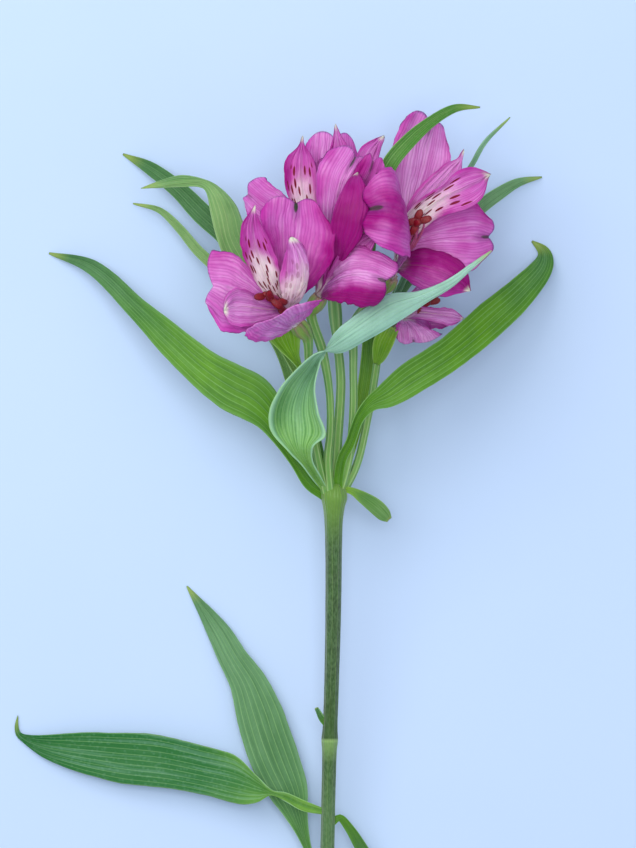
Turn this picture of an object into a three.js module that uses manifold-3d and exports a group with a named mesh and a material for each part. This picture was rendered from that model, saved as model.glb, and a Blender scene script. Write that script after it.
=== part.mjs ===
// Alstroemeria stem lying on a table: one cut flowering stem with its leaves and an umbel of five flowers.
// Millimetres, +Z up. +Y runs from the cut end towards the flowers and the lie of the stem is seen from +Z.
import * as THREE from 'three';
import Module from 'manifold-3d';

const wasm = await Module();
wasm.setup();

// ---- Driving dimensions (mm) ----
const STEM_BELOW_WHORL = 209;   // from the leaf whorl under the flowers down to the clean cut
const STEM_RADIUS = 2.8;
const WHORL_HEIGHT = 32;        // height of the whorl above the table
const GAP = 0.3;                // between two pieces that touch on the real stem
const LEAF_THICK = 0.6;
const TEPAL_THICK = 0.5;
const LEAST_HALF_WIDTH = 0.3;   // of a blade at its pointed tip
const LEAF_POINTS = 5;          // across a leaf, from margin to margin
const BROAD_LEAF_POINTS = 7;
const OVARY_RADIUS = 3.1;
const OVARY_LENGTH = 9;
const FILAMENT_RADIUS = 0.5;
const ANTHER_LENGTH = 5.4;
const ANTHER_RADIUS = 1.15;
const ANTHER_SPREAD = 1.6;      // how far the anthers stand off the middle of their cluster
const FRAME_SHIFT = [19.1, 30.3, -0.1];  // puts the origin under the middle of the whole stem's box

// ---- Colours ----
const STEM_GREEN = 0x5e7f4f;
const LEAF_GREEN = 0x6f9a4a;
const BLUE_GREEN = 0x6f9c84;
const YOUNG_GREEN = 0x93ad4f;
const OVARY_GREEN = 0x5c6b3a;
const MAUVE = 0xc465b4;
const MAGENTA = 0xc23d94;
const ANTHER_RED = 0x7d1022;

const UP = new THREE.Vector3(0, 0, 1);
const vec = (p) => new THREE.Vector3(p[0], p[1], p[2]);
const radians = THREE.MathUtils.degToRad;

// ---- Solids from closed rings ----

// A solid through closed rings of the same even count; both ends are closed by strips across the ring.
function loft(rings) {
  const count = rings[0].length;
  const verts = rings.flat().flatMap((p) => [p.x, p.y, p.z]);
  const tris = [];
  for (let r = 0; r + 1 < rings.length; r++) {
    for (let i = 0; i < count; i++) {
      const a = r * count + i;
      const b = r * count + (i + 1) % count;
      // Diagonals mirror about the midrib and match on the upper and the under side.
      if (Math.floor(4 * (i + 0.5) / count) % 2 === 1) {
        tris.push([a, b, b + count], [a, b + count, a + count]);
      } else {
        tris.push([a, b, a + count], [b, b + count, a + count]);
      }
    }
  }
  const last = (rings.length - 1) * count;
  for (let i = 0; i < count / 2 - 1; i++) {
    const j = count - 1 - i;
    tris.push([i, j, j - 1], [i, j - 1, i + 1]);
    tris.push([last + i, last + j - 1, last + j], [last + i, last + i + 1, last + j - 1]);
  }
  return closed(verts, tris);
}

// Six times the volume that the triangles enclose; negative when they face inwards.
function signedVolume(verts, tris) {
  const corner = (i) => new THREE.Vector3(verts[3 * i], verts[3 * i + 1], verts[3 * i + 2]);
  return tris.reduce((sum, [a, b, c]) => sum + corner(a).dot(corner(b).cross(corner(c))), 0);
}

function closed(verts, tris) {
  const outward = signedVolume(verts, tris) > 0 ? tris : tris.map(([a, b, c]) => [a, c, b]);
  return new wasm.Manifold(new wasm.Mesh({
    numProp: 3,
    vertProperties: new Float32Array(verts),
    triVerts: new Uint32Array(outward.flat()),
  }));
}

// ---- Round pieces: stations are [x, y, z, radius] ----

function tube(stations, sides, steps, grow = 0) {
  const path = new THREE.CatmullRomCurve3(stations.map(vec));
  let normal = UP;
  const rings = [];
  for (let k = 0; k <= steps; k++) {
    const centre = path.getPoint(k / steps);
    const along = path.getTangent(k / steps);
    const radius = valueAt(stations.map((s) => s[3]), k / steps) + grow;
    normal = normal.clone().addScaledVector(along, -normal.dot(along)).normalize();
    const across = new THREE.Vector3().crossVectors(along, normal);
    const ring = [];
    for (let i = 0; i < sides; i++) {
      const angle = 2 * Math.PI * (i + 0.5) / sides;
      ring.push(centre.clone()
        .addScaledVector(normal, radius * Math.cos(angle))
        .addScaledVector(across, radius * Math.sin(angle)));
    }
    rings.push(ring);
  }
  if (grow > 0) {
    lengthen(rings[0], path.getTangent(0), -grow);
    lengthen(rings[steps], path.getTangent(1), grow);
  }
  return loft(rings);
}

// A smooth value between the numbers of a list, with t from 0 to 1 over the list.
function valueAt(list, t) {
  const x = Math.min(Math.max(t, 0), 1) * (list.length - 1);
  const i = Math.min(Math.floor(x), list.length - 2);
  const f = x - i;
  const ease = f * f * (3 - 2 * f);
  return list[i] + (list[i + 1] - list[i]) * (0.5 * f + 0.5 * ease);
}

// ---- Blades: a thin sheet through stations of left margin, midrib and right margin ----

// Left margins, midribs and right margins on smooth curves through the rows, perSpan to each span.
function smoothRows(rows, perSpan) {
  const curves = [0, 1, 2].map((i) => new THREE.CatmullRomCurve3(rows.map((row) => vec(row[i]))));
  const steps = (rows.length - 1) * perSpan;
  return Array.from({ length: steps + 1 }, (_, k) => curves.map((curve) => curve.getPoint(k / steps)));
}

// Points of the sheet: every station is a curve through its three points, with u from -1 to 1.
// shift(u, s) moves the last part of the blade along its length.
function sheetPoints(stations, across, shift) {
  let side = new THREE.Vector3(1, 0, 0);
  return stations.map(([left, mid, right], k) => {
    const wide = right.clone().sub(left).multiplyScalar(0.5);
    const lift = right.clone().add(left).multiplyScalar(0.5).sub(mid);
    side = wide.length() < LEAST_HALF_WIDTH ? side.clone().setLength(LEAST_HALF_WIDTH) : wide;
    const before = stations[Math.max(k - 1, 0)][1];
    const after = stations[Math.min(k + 1, stations.length - 1)][1];
    const along = after.clone().sub(before).normalize();
    return Array.from({ length: across }, (_, i) => {
      const u = 2 * i / (across - 1) - 1;
      return mid.clone().addScaledVector(side, u).addScaledVector(lift, u * u)
        .addScaledVector(along, shift(u, k / (stations.length - 1)));
    });
  });
}

function sheet(stations, across, thick, shift, grow = 0) {
  const points = sheetPoints(stations, across, shift);
  const last = points.length - 1;
  const rings = points.map((row, k) => {
    const top = [];
    const under = [];
    row.forEach((point, i) => {
      const crosswise = row[Math.min(i + 1, across - 1)].clone().sub(row[Math.max(i - 1, 0)]);
      const lengthwise = points[Math.min(k + 1, last)][i].clone().sub(points[Math.max(k - 1, 0)][i]);
      const normal = crosswise.clone().cross(lengthwise).normalize();
      const outward = i === 0 ? -grow : (i === across - 1 ? grow : 0);
      const edge = point.clone().addScaledVector(crosswise.normalize(), outward);
      top.push(edge.clone().addScaledVector(normal, thick / 2 + grow));
      under.unshift(edge.addScaledVector(normal, -thick / 2 - grow));
    });
    return [...top, ...under];
  });
  if (grow > 0) {
    const middle = (k) => stations[k][1];
    lengthen(rings[0], middle(0).clone().sub(middle(1)).normalize(), grow);
    lengthen(rings[last], middle(last).clone().sub(middle(last - 1)).normalize(), grow);
  }
  return loft(rings);
}

function lengthen(ring, along, by) {
  ring.forEach((p) => p.addScaledVector(along, by));
}

// ---- Leaves: stations are [x, y, z, half width, roll, cup] from the stem to the tip ----
// Roll turns the upper side away from +Z about the midrib; cup turns the margins up.

function leafRows(stations) {
  const path = new THREE.CatmullRomCurve3(stations.map(vec));
  return stations.map(([x, y, z, half, roll, cup], k) => {
    const along = path.getTangent(k / (stations.length - 1));
    const face = UP.clone().addScaledVector(along, -UP.dot(along)).normalize();
    face.applyAxisAngle(along, radians(roll));
    const side = new THREE.Vector3().crossVectors(along, face);
    const bend = radians(cup) + 0.001;
    const mid = new THREE.Vector3(x, y, z);
    const margin = (way) => mid.clone().addScaledVector(side, way * half * Math.sin(bend) / bend)
      .addScaledVector(face, half * (1 - Math.cos(bend)) / bend).toArray();
    return [margin(-1), mid.toArray(), margin(1)];
  });
}

const noShift = () => 0;

const LEAVES = {
  leaf_whorl_long_left: { colour: LEAF_GREEN, stations: [
    [-3, 0.8, 32, 3.2, 0, 50], [-8.7, 4.9, 33.5, 3.3, 0, 60], [-14.9, 13.9, 35, 2.6, 0, 50],
    [-23.6, 30, 37, 6.4, 0, 20], [-30.5, 37, 38, 8.9, 0, 12], [-39, 41.6, 38, 9, 0, 8],
    [-49.6, 48.6, 36, 7.4, 0, 8], [-64, 61.3, 30, 5.8, 0, 8], [-75.3, 71.9, 22, 4.2, 0, 10],
    [-93, 88, 10, 2.9, 0, 10], [-110, 93.6, 0.4, 0.4, 0, 0]] },
  leaf_whorl_long_right: { colour: LEAF_GREEN, stations: [
    [1.5, 1, 33, 2.2, 0, 60], [3.4, 13.9, 38, 2.2, 0, 60], [6.5, 20, 40, 2.2, 0, 60],
    [10, 29.6, 44, 2.4, 0, 60], [14.5, 35, 46, 3.2, 0, 45], [21, 38.6, 46, 5.2, 0, 25],
    [29.4, 44.5, 45, 6.4, 0, 15], [44.7, 54.4, 41, 6.5, 0, 12], [60.5, 67.6, 32, 6.9, 0, 10],
    [73.1, 78.9, 20, 5.8, 0, 10], [81.4, 89, 8, 4, 0, 10], [81.6, 94.2, 2.6, 2.4, 0, 5],
    [77.2, 98.3, 0.4, 0.4, 0, 0]] },
  leaf_whorl_small_right: { colour: YOUNG_GREEN, stations: [
    [2.6, 2.6, 32.5, 1.1, 0, 30], [6.9, 1.9, 32.4, 1.4, 0, 30], [11.6, -0.8, 30.6, 2.5, 0, 25],
    [16.7, -4.5, 27.4, 3.1, 0, 20], [19.9, -7.6, 24.4, 2.6, 0, 15], [21.7, -9.4, 22.6, 1.2, 0, 5]] },
  leaf_upper_right_arching: { colour: YOUNG_GREEN, stations: [
    [2.6, 1.8, 29, 1.6, 0, 40], [10.8, 34.7, 22, 2.6, 0, 30], [13.9, 57.8, 20, 2.8, 0, 25],
    [13.6, 76.4, 30, 3, 0, 25], [13.6, 97.1, 46, 3, 0, 25], [16.8, 113.8, 56, 3.2, 0, 30],
    [21.6, 126, 62, 3.3, 0, 30], [28.3, 134.1, 61, 3, 0, 30], [36.7, 141.6, 57, 2.2, 0, 20],
    [46.4, 147.3, 52, 1.6, 0, 15], [56, 147.9, 47, 0.3, 0, 0]] },
  leaf_upper_right_narrow: { colour: BLUE_GREEN, stations: [
    [1.6, 0.8, 27.5, 1, 0, 20], [12.2, 36.1, 21, 1.2, 0, 20], [24.4, 76.7, 16, 1.2, 0, 20],
    [38.5, 103.9, 20, 1.2, 0, 20], [53, 126.3, 26, 0.9, 0, 20], [58.4, 135.5, 27, 0.8, 0, 10],
    [68.1, 145.2, 24, 0.25, 0, 0]] },
  leaf_upper_right_low: { colour: LEAF_GREEN, stations: [
    [2.1, 0.2, 26.5, 1.4, 0, 30], [10.7, 34.1, 17, 2, 0, 20], [14.5, 56.4, 12, 2.3, 0, 20],
    [27.5, 80.9, 8, 2.4, 0, 20], [42.8, 97.2, 8, 2.6, 0, 20], [58, 111.9, 9, 2.8, 0, 20],
    [63.4, 115.9, 9, 2.6, 0, 20], [71.3, 120.6, 6.5, 1.8, 0, 10], [81.1, 123.1, 0.4, 0.3, 0, 0]] },
  leaf_upper_left_low: { colour: LEAF_GREEN, stations: [
    [-1.5, 1.8, 28, 1.5, 0, 30], [-12.6, 44.2, 26, 2.4, 0, 25], [-26.2, 78.6, 22, 3.2, 0, 20],
    [-39.4, 97.9, 18, 4, 0, 20], [-51.1, 109.2, 14, 4.1, 0, 20], [-59.7, 117.9, 10.5, 3.4, 0, 15],
    [-70.6, 126.3, 5.5, 2.6, 0, 10], [-81.3, 132, 0.4, 0.4, 0, 0]] },
  leaf_upper_left_thin: { colour: YOUNG_GREEN, stations: [
    [-2.2, 0.8, 26.6, 1.2, 0, 20], [-12.6, 29, 21, 1.6, 0, 20], [-20.7, 55.9, 17.5, 1.8, 0, 20],
    [-32.4, 73.6, 15, 2, 0, 20], [-42.5, 85.3, 13, 2.2, 0, 20], [-52.2, 94.5, 11, 2.1, 0, 20],
    [-59.9, 103.7, 9.5, 1.7, 0, 20], [-67, 110, 8, 1.2, 0, 10], [-77.3, 112.7, 5, 0.3, 0, 0]] },
  leaf_lower_upright: { colour: LEAF_GREEN, stations: [
    [-4, -152.8, 10.6, 1.3, 0, 50], [-10, -135.6, 9, 1.8, 0, 50], [-13.8, -124, 7.6, 4.6, 0, 30],
    [-16.8, -115.2, 6.8, 7.6, 0, 15], [-21.6, -104.1, 5.8, 9.3, 0, 10], [-25, -95.1, 5.4, 9.5, 0, 8],
    [-28.9, -83, 5, 8.9, 0, 8], [-32.8, -72.8, 4.6, 7.1, 0, 8], [-38.6, -63.2, 3.8, 5.7, 0, 8],
    [-44.4, -52.8, 2.8, 4.4, 0, 8], [-56.5, -35.4, 0.4, 0.3, 0, 0]] },
  leaf_lower_right: { colour: LEAF_GREEN, stations: [
    [-0.4, -126.7, 14.4, 1.2, 0, 30], [2.5, -124.3, 14.6, 1.4, 0, 20], [6.2, -128.3, 12.6, 1.8, 0, 20],
    [11.3, -136.7, 8.4, 2.4, 0, 20], [19.5, -150.3, 2.5, 2.2, 0, 10], [24.6, -158.6, 0.4, 0.4, 0, 0]] },
  bracteole_right: { colour: YOUNG_GREEN, stations: [
    [16.6, 50.4, 31.6, 1.2, 0, 60], [17.6, 53.2, 33.4, 3, 0, 60], [19.3, 58.7, 36.4, 4.6, 0, 60],
    [22.3, 64.7, 38.5, 3.6, 0, 40]] },
};

// Broad or folded leaves: each station is the left margin, the midrib and the right margin,
// and steps is how many steps the solid takes from one station to the next.
const BROAD_LEAVES = {
  leaf_whorl_cupped_front: { colour: BLUE_GREEN, steps: 3, rows: [
    [[-3.4, 0.6, 32], [-2.3, 0.6, 33], [-1.1, 0.6, 32]], [[-7.6, 6, 41], [-6.1, 6, 39], [-4.2, 6.8, 41]],
    [[-12.2, 12.2, 49], [-10.3, 12.5, 46], [-7.6, 13.7, 48]],
    [[-16.7, 16.7, 54], [-12.5, 17.9, 50], [-7.2, 19, 54]],
    [[-23.1, 24, 58], [-12.9, 25.1, 51], [-2.7, 23.2, 58]],
    [[-24, 32.3, 61], [-13.3, 33.4, 51], [-5.7, 31.9, 61]],
    [[-19.7, 41.7, 63], [-11.4, 41, 53], [-6.8, 39.8, 62]],
    [[-12.5, 49.6, 64.5], [-7.6, 48.2, 57], [-5.5, 47, 62]],
    [[-4.9, 54.7, 65], [-4.2, 54.2, 63], [-3.4, 53.5, 61]],
    [[2.6, 54.2, 63], [1.1, 57.2, 66], [-0.4, 60.6, 67]],
    [[12.4, 58.9, 66], [9.8, 62.8, 70], [6.7, 67.3, 69]],
    [[24.1, 65.7, 68], [21.8, 70.7, 72], [19.9, 76, 70]],
    [[34.3, 72.6, 70], [33.1, 75.2, 72.2], [32.3, 77.6, 72]],
    [[44.8, 79.3, 72], [44.4, 80.8, 73.2], [43.6, 82, 73]],
    [[53.4, 86.9, 72], [52.9, 87.4, 72.8], [52.3, 88, 72.6]],
    [[59.7, 92.9, 71], [59.7, 92.9, 71], [59.7, 92.9, 71]]] },
  leaf_upper_left_folded: { colour: YOUNG_GREEN, rows: [
    [[-3.4, 1.7, 30.5], [-2.6, 1.7, 30.5], [-1.9, 2.1, 30.5]],
    [[-13.7, 43, 36], [-12.2, 43.8, 35], [-10.7, 44.6, 36]],
    [[-28.6, 67.8, 42], [-25.5, 70.1, 41], [-22.1, 72.3, 42]],
    [[-38.5, 84.9, 44], [-33.9, 88.3, 43], [-28.2, 91.4, 44]],
    [[-43.4, 95.2, 44], [-38.9, 97.9, 43], [-32.7, 100.1, 44]],
    [[-46.4, 106.2, 45], [-41.1, 107.7, 45], [-34.6, 105.4, 45]],
    [[-48.3, 115.3, 45], [-43.7, 114.1, 47], [-37.7, 111.9, 46]],
    [[-51.4, 117.7, 43], [-48.7, 119.5, 44.5], [-45.3, 118.7, 45]],
    [[-58.3, 117.8, 40], [-57.2, 120, 41], [-56, 122.3, 41]],
    [[-66.9, 117.6, 34], [-66.1, 118.9, 34.5], [-65.4, 120.7, 34]],
    [[-73.5, 117.6, 30], [-73.5, 117.6, 30], [-73.5, 117.6, 30]]] },
  leaf_lower_broad_left: { colour: BLUE_GREEN, rows: [
    [[-2.6, -123.3, 15], [-2.4, -122.1, 15.4], [-2.6, -121, 15]],
    [[-11.5, -121.6, 17], [-11.3, -119.8, 16], [-10.3, -117.8, 17]],
    [[-18.4, -117.8, 17.2], [-18.8, -116.3, 16.4], [-18, -114.5, 17.2]],
    [[-23.4, -115.6, 15.5], [-23.4, -114.6, 16], [-23.4, -113.6, 16.5]],
    [[-28.8, -118.3, 14.8], [-28.8, -112.6, 14], [-29.2, -108.3, 14.8]],
    [[-35.8, -119.3, 13.4], [-36.6, -109.6, 12.4], [-37.3, -100.6, 13.4]],
    [[-49.3, -115.8, 11.2], [-50.1, -106.6, 10.4], [-51.2, -96.5, 11.2]],
    [[-64.8, -113.2, 9.7], [-65.6, -103.6, 9], [-66.7, -92.7, 9.7]],
    [[-82.2, -111.3, 8.1], [-83.4, -101.7, 7.4], [-84.1, -91.8, 8.1]],
    [[-99.7, -106.8, 6.1], [-100.8, -99.5, 5.6], [-101.6, -92.1, 6.1]],
    [[-112.5, -101.5, 3.6], [-114.1, -96.9, 3.3], [-115.2, -93, 3.6]],
    [[-119.6, -96.2, 1.9], [-120, -94.3, 1.7], [-120, -92.5, 1.9]],
    [[-122.6, -93.3, 1.2], [-121.9, -92.4, 1.2], [-121.2, -91.7, 1.2]],
    [[-123.1, -89.7, 0.8], [-122.5, -89.7, 0.8], [-121.9, -89.7, 0.8]],
    [[-122, -85.4, 0.4], [-122, -85.4, 0.4], [-122, -85.4, 0.4]]] },
  bracteole_left: { colour: YOUNG_GREEN, rows: [
    [[-12.5, 47.5, 49.5], [-12, 47.9, 49], [-11.4, 48.3, 49.5]],
    [[-15.9, 51.3, 53], [-14.4, 52.4, 51.5], [-12.7, 53.2, 53]],
    [[-20.5, 55.4, 57], [-16.7, 57, 54], [-12.5, 57.3, 57]],
    [[-24.1, 59.5, 60], [-18.2, 61.1, 57], [-12.5, 61, 60]],
    [[-24.6, 64, 62], [-19.7, 65.6, 59], [-14.4, 65.6, 61]],
    [[-22.7, 68.2, 60], [-20.8, 68.6, 59.5], [-18.6, 68.6, 60]]] },
};

function blade(rows, perSpan, across, grow = 0) {
  return sheet(smoothRows(rows, perSpan), across, LEAF_THICK, noShift, grow);
}

// ---- Flowers ----
// base is the top of the ovary and axis the way that the flower opens. A pedicel lists its way up
// from the whorl as [x, y, z, radius]. anthers are the first and the last of the anther cluster. A tepal
// lists its stations from the claw to the end: left margin, midrib and right margin.

const FLOWERS = {
  front: {
    base: [-14, 66, 64], axis: [-0.47, 0.67, 0.57], anthers: [[-28.1, 77.1, 89], [-18.1, 70.9, 78]],
    pedicel: [[-2.2, -1, 32, 1.8], [-5, 10.6, 39, 1.6], [-8.2, 29, 46, 1.4], [-9.2, 50, 53.5, 1.4]],
    tepals: {
      outer_top: [
        [[-18.7, 74.8, 71], [-15.9, 74.1, 70], [-12.7, 73.7, 70]],
        [[-21.6, 85.6, 76.3], [-15.9, 84.5, 75], [-6.2, 80.3, 79.3]],
        [[-24.4, 95.6, 83], [-15.1, 94.6, 79], [-0.5, 89.5, 86]],
        [[-27.4, 103.4, 86], [-14.3, 103.2, 81], [0.1, 100, 86]],
        [[-26.3, 111.3, 84], [-14, 110.3, 81], [-3.8, 109.1, 83]]],
      outer_left: [
        [[-18, 65.9, 69.2], [-18.5, 69.2, 68], [-19.5, 72.3, 68.2]],
        [[-25.4, 63.2, 76.4], [-26.8, 72.9, 72], [-26.2, 79, 72.4]],
        [[-33.1, 61.9, 82], [-33.9, 75.5, 75], [-32.1, 86.8, 73]],
        [[-42.1, 62.6, 84], [-40.3, 77.7, 77], [-38.8, 92.1, 73]],
        [[-48.4, 70.9, 83], [-45.2, 79.2, 77], [-47.5, 93.2, 74]]],
      outer_low: [
        [[-12.1, 66.2, 67], [-14, 64.7, 69], [-15.9, 63.2, 70]],
        [[-10.8, 67.4, 72.5], [-16.2, 64.2, 77], [-19.8, 60.5, 77.5]],
        [[-8.3, 69, 80], [-18.4, 64.4, 86], [-25.9, 58.4, 86]],
        [[-6.1, 71.9, 87], [-20.6, 65.5, 92], [-31.1, 58.8, 91]],
        [[-4.6, 75.2, 90], [-22.5, 66.9, 96], [-34.1, 61, 93]]],
      inner_left: [
        [[-19.2, 70.6, 71], [-17.4, 70.7, 70], [-15.8, 71.3, 70]],
        [[-26.7, 77.5, 80.6], [-23, 77.7, 78], [-19.6, 78.7, 78.6]],
        [[-32.1, 86.9, 88], [-26.7, 86.6, 85], [-20.1, 86.5, 86]],
        [[-34.7, 95, 92], [-29.6, 95, 90], [-23.5, 94.3, 90]],
        [[-33.7, 102.8, 94], [-30.5, 102.1, 92], [-27.2, 102.8, 92]],
        [[-31.1, 106.7, 93], [-29.8, 106.7, 92.5], [-28.9, 106.4, 92.5]],
        [[-29.3, 109, 91.5], [-29.3, 109, 91.5], [-29.3, 109, 91.5]]],
      inner_top: [
        [[-17.8, 70.6, 71.7], [-16.6, 70.7, 71], [-15.5, 71, 70.7]],
        [[-19.2, 76, 80.2], [-13.6, 75, 80], [-11.6, 75.3, 78.2]],
        [[-20.3, 81, 84], [-11.3, 80.5, 87], [-10.2, 81, 84]],
        [[-19.4, 87.2, 88], [-11.1, 86, 92], [-9.8, 86.5, 88]],
        [[-17.5, 92.4, 91], [-12.8, 91.5, 95], [-10.4, 92.8, 91]],
        [[-16.2, 95.7, 93.5], [-14.8, 95.3, 95], [-12.1, 95.7, 92.5]],
        [[-15.4, 97.2, 94.5], [-15.4, 97.2, 94.5], [-15.4, 97.2, 94.5]]],
      inner_low: [
        [[-18.5, 68.4, 72.6], [-18.5, 69.9, 72], [-18.8, 71.4, 72.6]],
        [[-25.1, 66.1, 79.8], [-25.2, 70.5, 80], [-26.6, 74.4, 81.8]],
        [[-31.5, 63.7, 86], [-31.2, 71.2, 85], [-32.3, 77.7, 88]],
        [[-37.1, 64, 89], [-36.4, 71.5, 88], [-37.1, 78.2, 91]],
        [[-40.1, 66.6, 90], [-39.4, 70.7, 90], [-40.6, 74.4, 92]],
        [[-41, 69.6, 90], [-41, 69.6, 90], [-41, 69.6, 90]]],
    },
  },
  upper: {
    base: [-1, 88, 46], axis: [-0.05, 0.9, 0.43], anthers: [[-4.2, 101.7, 56], [-2.7, 109.9, 58]],
    pedicel: [[0.6, -1, 31, 2], [1.5, 17, 34, 1.8], [3, 44, 37, 1.7], [1.6, 60, 39, 1.8],
      [1, 68, 40, 2.5],
      [0.4, 75, 42, 2.4]],
    tepals: {
      outer_left: [
        [[-6.8, 90.5, 52], [-5.7, 92.7, 52], [-4.6, 94.7, 52]],
        [[-17, 94.8, 57], [-13.7, 99.7, 57], [-10.9, 104.7, 57]],
        [[-26.1, 99.3, 59], [-21.6, 106.1, 59], [-17.1, 113, 58]],
        [[-32.2, 106.2, 57], [-28.4, 111.1, 57], [-23.5, 118.3, 56]],
        [[-31.9, 108.2, 53], [-32.3, 114.6, 54], [-27, 122.2, 53]]],
      outer_back: [
        [[-2.3, 93.9, 50.3], [-0.8, 94.2, 50], [0.8, 94.3, 50.3]],
        [[-5.6, 104.1, 53.6], [-0.4, 104.8, 52], [4.3, 104.5, 53.6]],
        [[-9.1, 116.1, 55], [0, 116.2, 52], [7.6, 116.1, 55]],
        [[-11, 127.6, 53], [0.4, 127.7, 50], [9.5, 126.8, 53]],
        [[-10.3, 136.5, 48], [0.4, 136.6, 46], [8.8, 135, 48]]],
      outer_front: [
        [[0.7, 94.2, 54.7], [-0.8, 94.1, 55], [-2.3, 93.9, 54.7]],
        [[3.8, 102.9, 64.5], [0, 102.5, 66], [-4.2, 102.2, 63.5]],
        [[6.4, 111.8, 70], [1.5, 110.9, 73], [-6.1, 111.8, 69]],
        [[9, 118.1, 73], [4.1, 119.9, 76], [-5.9, 123, 72]],
        [[10.9, 123, 72], [8.4, 127.8, 74], [-1.2, 132.5, 71]]],
      inner_left: [
        [[-5.7, 92.9, 52.6], [-4.2, 93.4, 52], [-2.7, 94.1, 51.6]],
        [[-11.8, 101.6, 58.9], [-8.4, 102.7, 58], [-5.3, 103.9, 57.9]],
        [[-16.7, 111.7, 63], [-11.4, 112.9, 61], [-5.7, 113.2, 61]],
        [[-18.4, 121.9, 63], [-12.5, 121.9, 61], [-6.1, 123.1, 61]],
        [[-17.4, 128.4, 61.5], [-12.3, 128.4, 60], [-8, 128.8, 60]],
        [[-13.7, 131.9, 59], [-11.9, 132.3, 58.5], [-10.2, 131.9, 58.5]],
        [[-12.1, 134.2, 57.5], [-11.8, 134.4, 57.5], [-11.2, 134.2, 57.5]],
        [[-11.4, 136.5, 56], [-11.4, 136.5, 56], [-11.4, 136.5, 56]]],
      inner_back: [
        [[-1.9, 94.2, 52.3], [-0.8, 94.2, 52], [0.4, 94.2, 52.3]],
        [[-3, 103.5, 57.8], [0, 103.9, 57], [3, 103.9, 57.8]],
        [[-3.8, 114.3, 62], [1.1, 114.4, 60], [5.6, 114.3, 62]],
        [[-3.1, 125, 61], [1.9, 125, 60], [6.4, 125, 61]],
        [[-0.8, 132.2, 59], [1.9, 132.7, 58], [5.3, 132.6, 59]],
        [[0.4, 137.1, 56], [1.5, 137.3, 55.5], [3, 136.9, 56]],
        [[0.9, 141.2, 53], [0.9, 141.2, 53], [0.9, 141.2, 53]]],
      inner_right: [
        [[-0.8, 94.5, 52.3], [0.4, 93.8, 52], [1.5, 93, 52.3]],
        [[1.5, 103.9, 57.8], [3.8, 103.1, 57], [6.4, 102, 57.8]],
        [[3.8, 115.1, 61], [7.9, 113.7, 59], [12.1, 112.1, 61]],
        [[7.2, 125.4, 60], [11.7, 122.8, 59], [16.3, 120.8, 60]],
        [[11, 132.5, 57.5], [15.1, 130.4, 57], [17.4, 128.1, 57.5]],
        [[15.3, 135.3, 55], [17.1, 133.9, 54.8], [18.4, 133.9, 55]],
        [[19.4, 136.9, 52.5], [19.4, 136.9, 52.5], [19.4, 136.9, 52.5]]],
    },
  },
  middle: {
    base: [-4.6, 76, 62], axis: [0.42, 0.7, 0.55], anthers: [[2.6, 90.6, 72], [6.3, 96.6, 75]],
    pedicel: [[-0.8, -1, 33, 1.9], [-2, 13.7, 39.5, 1.6], [-1, 25, 43, 1.4], [-1.4, 40, 47, 1.4],
      [-4, 55, 52, 1.7]],
    tepals: {
      outer_low: [
        [[-4.4, 74.8, 68], [-3.4, 78.3, 68], [-3.3, 82, 67]],
        [[-1.1, 73.7, 75.4], [1.4, 81.5, 76], [-0.3, 88.1, 73.4]],
        [[4.1, 72.8, 79], [7.1, 83.3, 82], [5.2, 95.4, 77]],
        [[10.4, 71.3, 82], [13.4, 82.8, 86], [14.6, 93.4, 80]],
        [[17.2, 71.3, 80], [19.6, 80.9, 86], [25.8, 87.8, 82]]],
      outer_top: [
        [[-3.8, 80.3, 68.3], [-2.3, 80.6, 68], [-0.8, 81.1, 68.3]],
        [[-0.6, 90.4, 75.2], [2.6, 91, 72], [6.9, 92.7, 75.2]],
        [[1.4, 102.5, 78], [7.1, 103.4, 73], [13.8, 104.8, 77]],
        [[4.4, 114.5, 78], [10.5, 115.4, 74], [17.6, 115.3, 78]],
        [[7.8, 122.1, 77], [13.5, 122.1, 77], [19.5, 121.3, 79]],
        [[10.8, 127.5, 77], [15, 126.1, 79], [19.8, 123.9, 79]]],
      outer_left: [
        [[-6.8, 80.6, 65], [-5.3, 80.6, 65], [-3.8, 80.6, 65]],
        [[-9.5, 90.5, 62.9], [-6.1, 90.9, 62], [-2.3, 90.9, 61.9]],
        [[-11.4, 102, 58], [-6.5, 102.4, 57], [-0.8, 102.4, 57]],
        [[-11.8, 114.1, 57], [-6.5, 114.6, 55], [-0.8, 114.6, 55.5]],
        [[-11, 124.4, 55.5], [-6.3, 126, 54.5], [-1.9, 124.8, 55]]],
      inner_top: [
        [[-3.9, 79.9, 69.3], [-2.7, 80.2, 69], [-1.3, 80.7, 69.3]],
        [[-2.6, 88.9, 77.4], [-0.1, 89, 76], [5.2, 90, 79.4]],
        [[0.7, 97.2, 80], [-0.1, 97.8, 84], [11.2, 98.5, 86]],
        [[2.4, 106.2, 81.5], [1.4, 106.4, 87], [13.4, 107.4, 88]],
        [[4.4, 112.9, 83], [3.7, 113.9, 86], [12.6, 115, 87]],
        [[5.7, 117.4, 82], [6.1, 118.9, 83], [10.8, 119.6, 84]],
        [[9.3, 121.8, 79], [9.3, 121.8, 79], [9.3, 121.8, 79]]],
      inner_left: [
        [[-6.1, 79.8, 68.3], [-4.9, 80.2, 68], [-3.8, 80.5, 68.3]],
        [[-8.3, 88, 72.8], [-5.3, 88.4, 72], [-2.3, 88.7, 72.8]],
        [[-9.8, 96.6, 76], [-5.7, 96.6, 74], [-1.2, 96.6, 76]],
        [[-9.1, 103.7, 76], [-5.7, 103.7, 74.5], [-1.9, 103.7, 76]],
        [[-5.3, 108.3, 73], [-5.3, 108.3, 73], [-5.3, 108.3, 73]]],
      inner_right: [
        [[-3.4, 80.9, 69.7], [-2.7, 79.4, 69], [-1.9, 77.9, 68.7]],
        [[0.3, 88.3, 76.7], [1.8, 85.3, 75], [3.7, 82.6, 75.7]],
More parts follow.
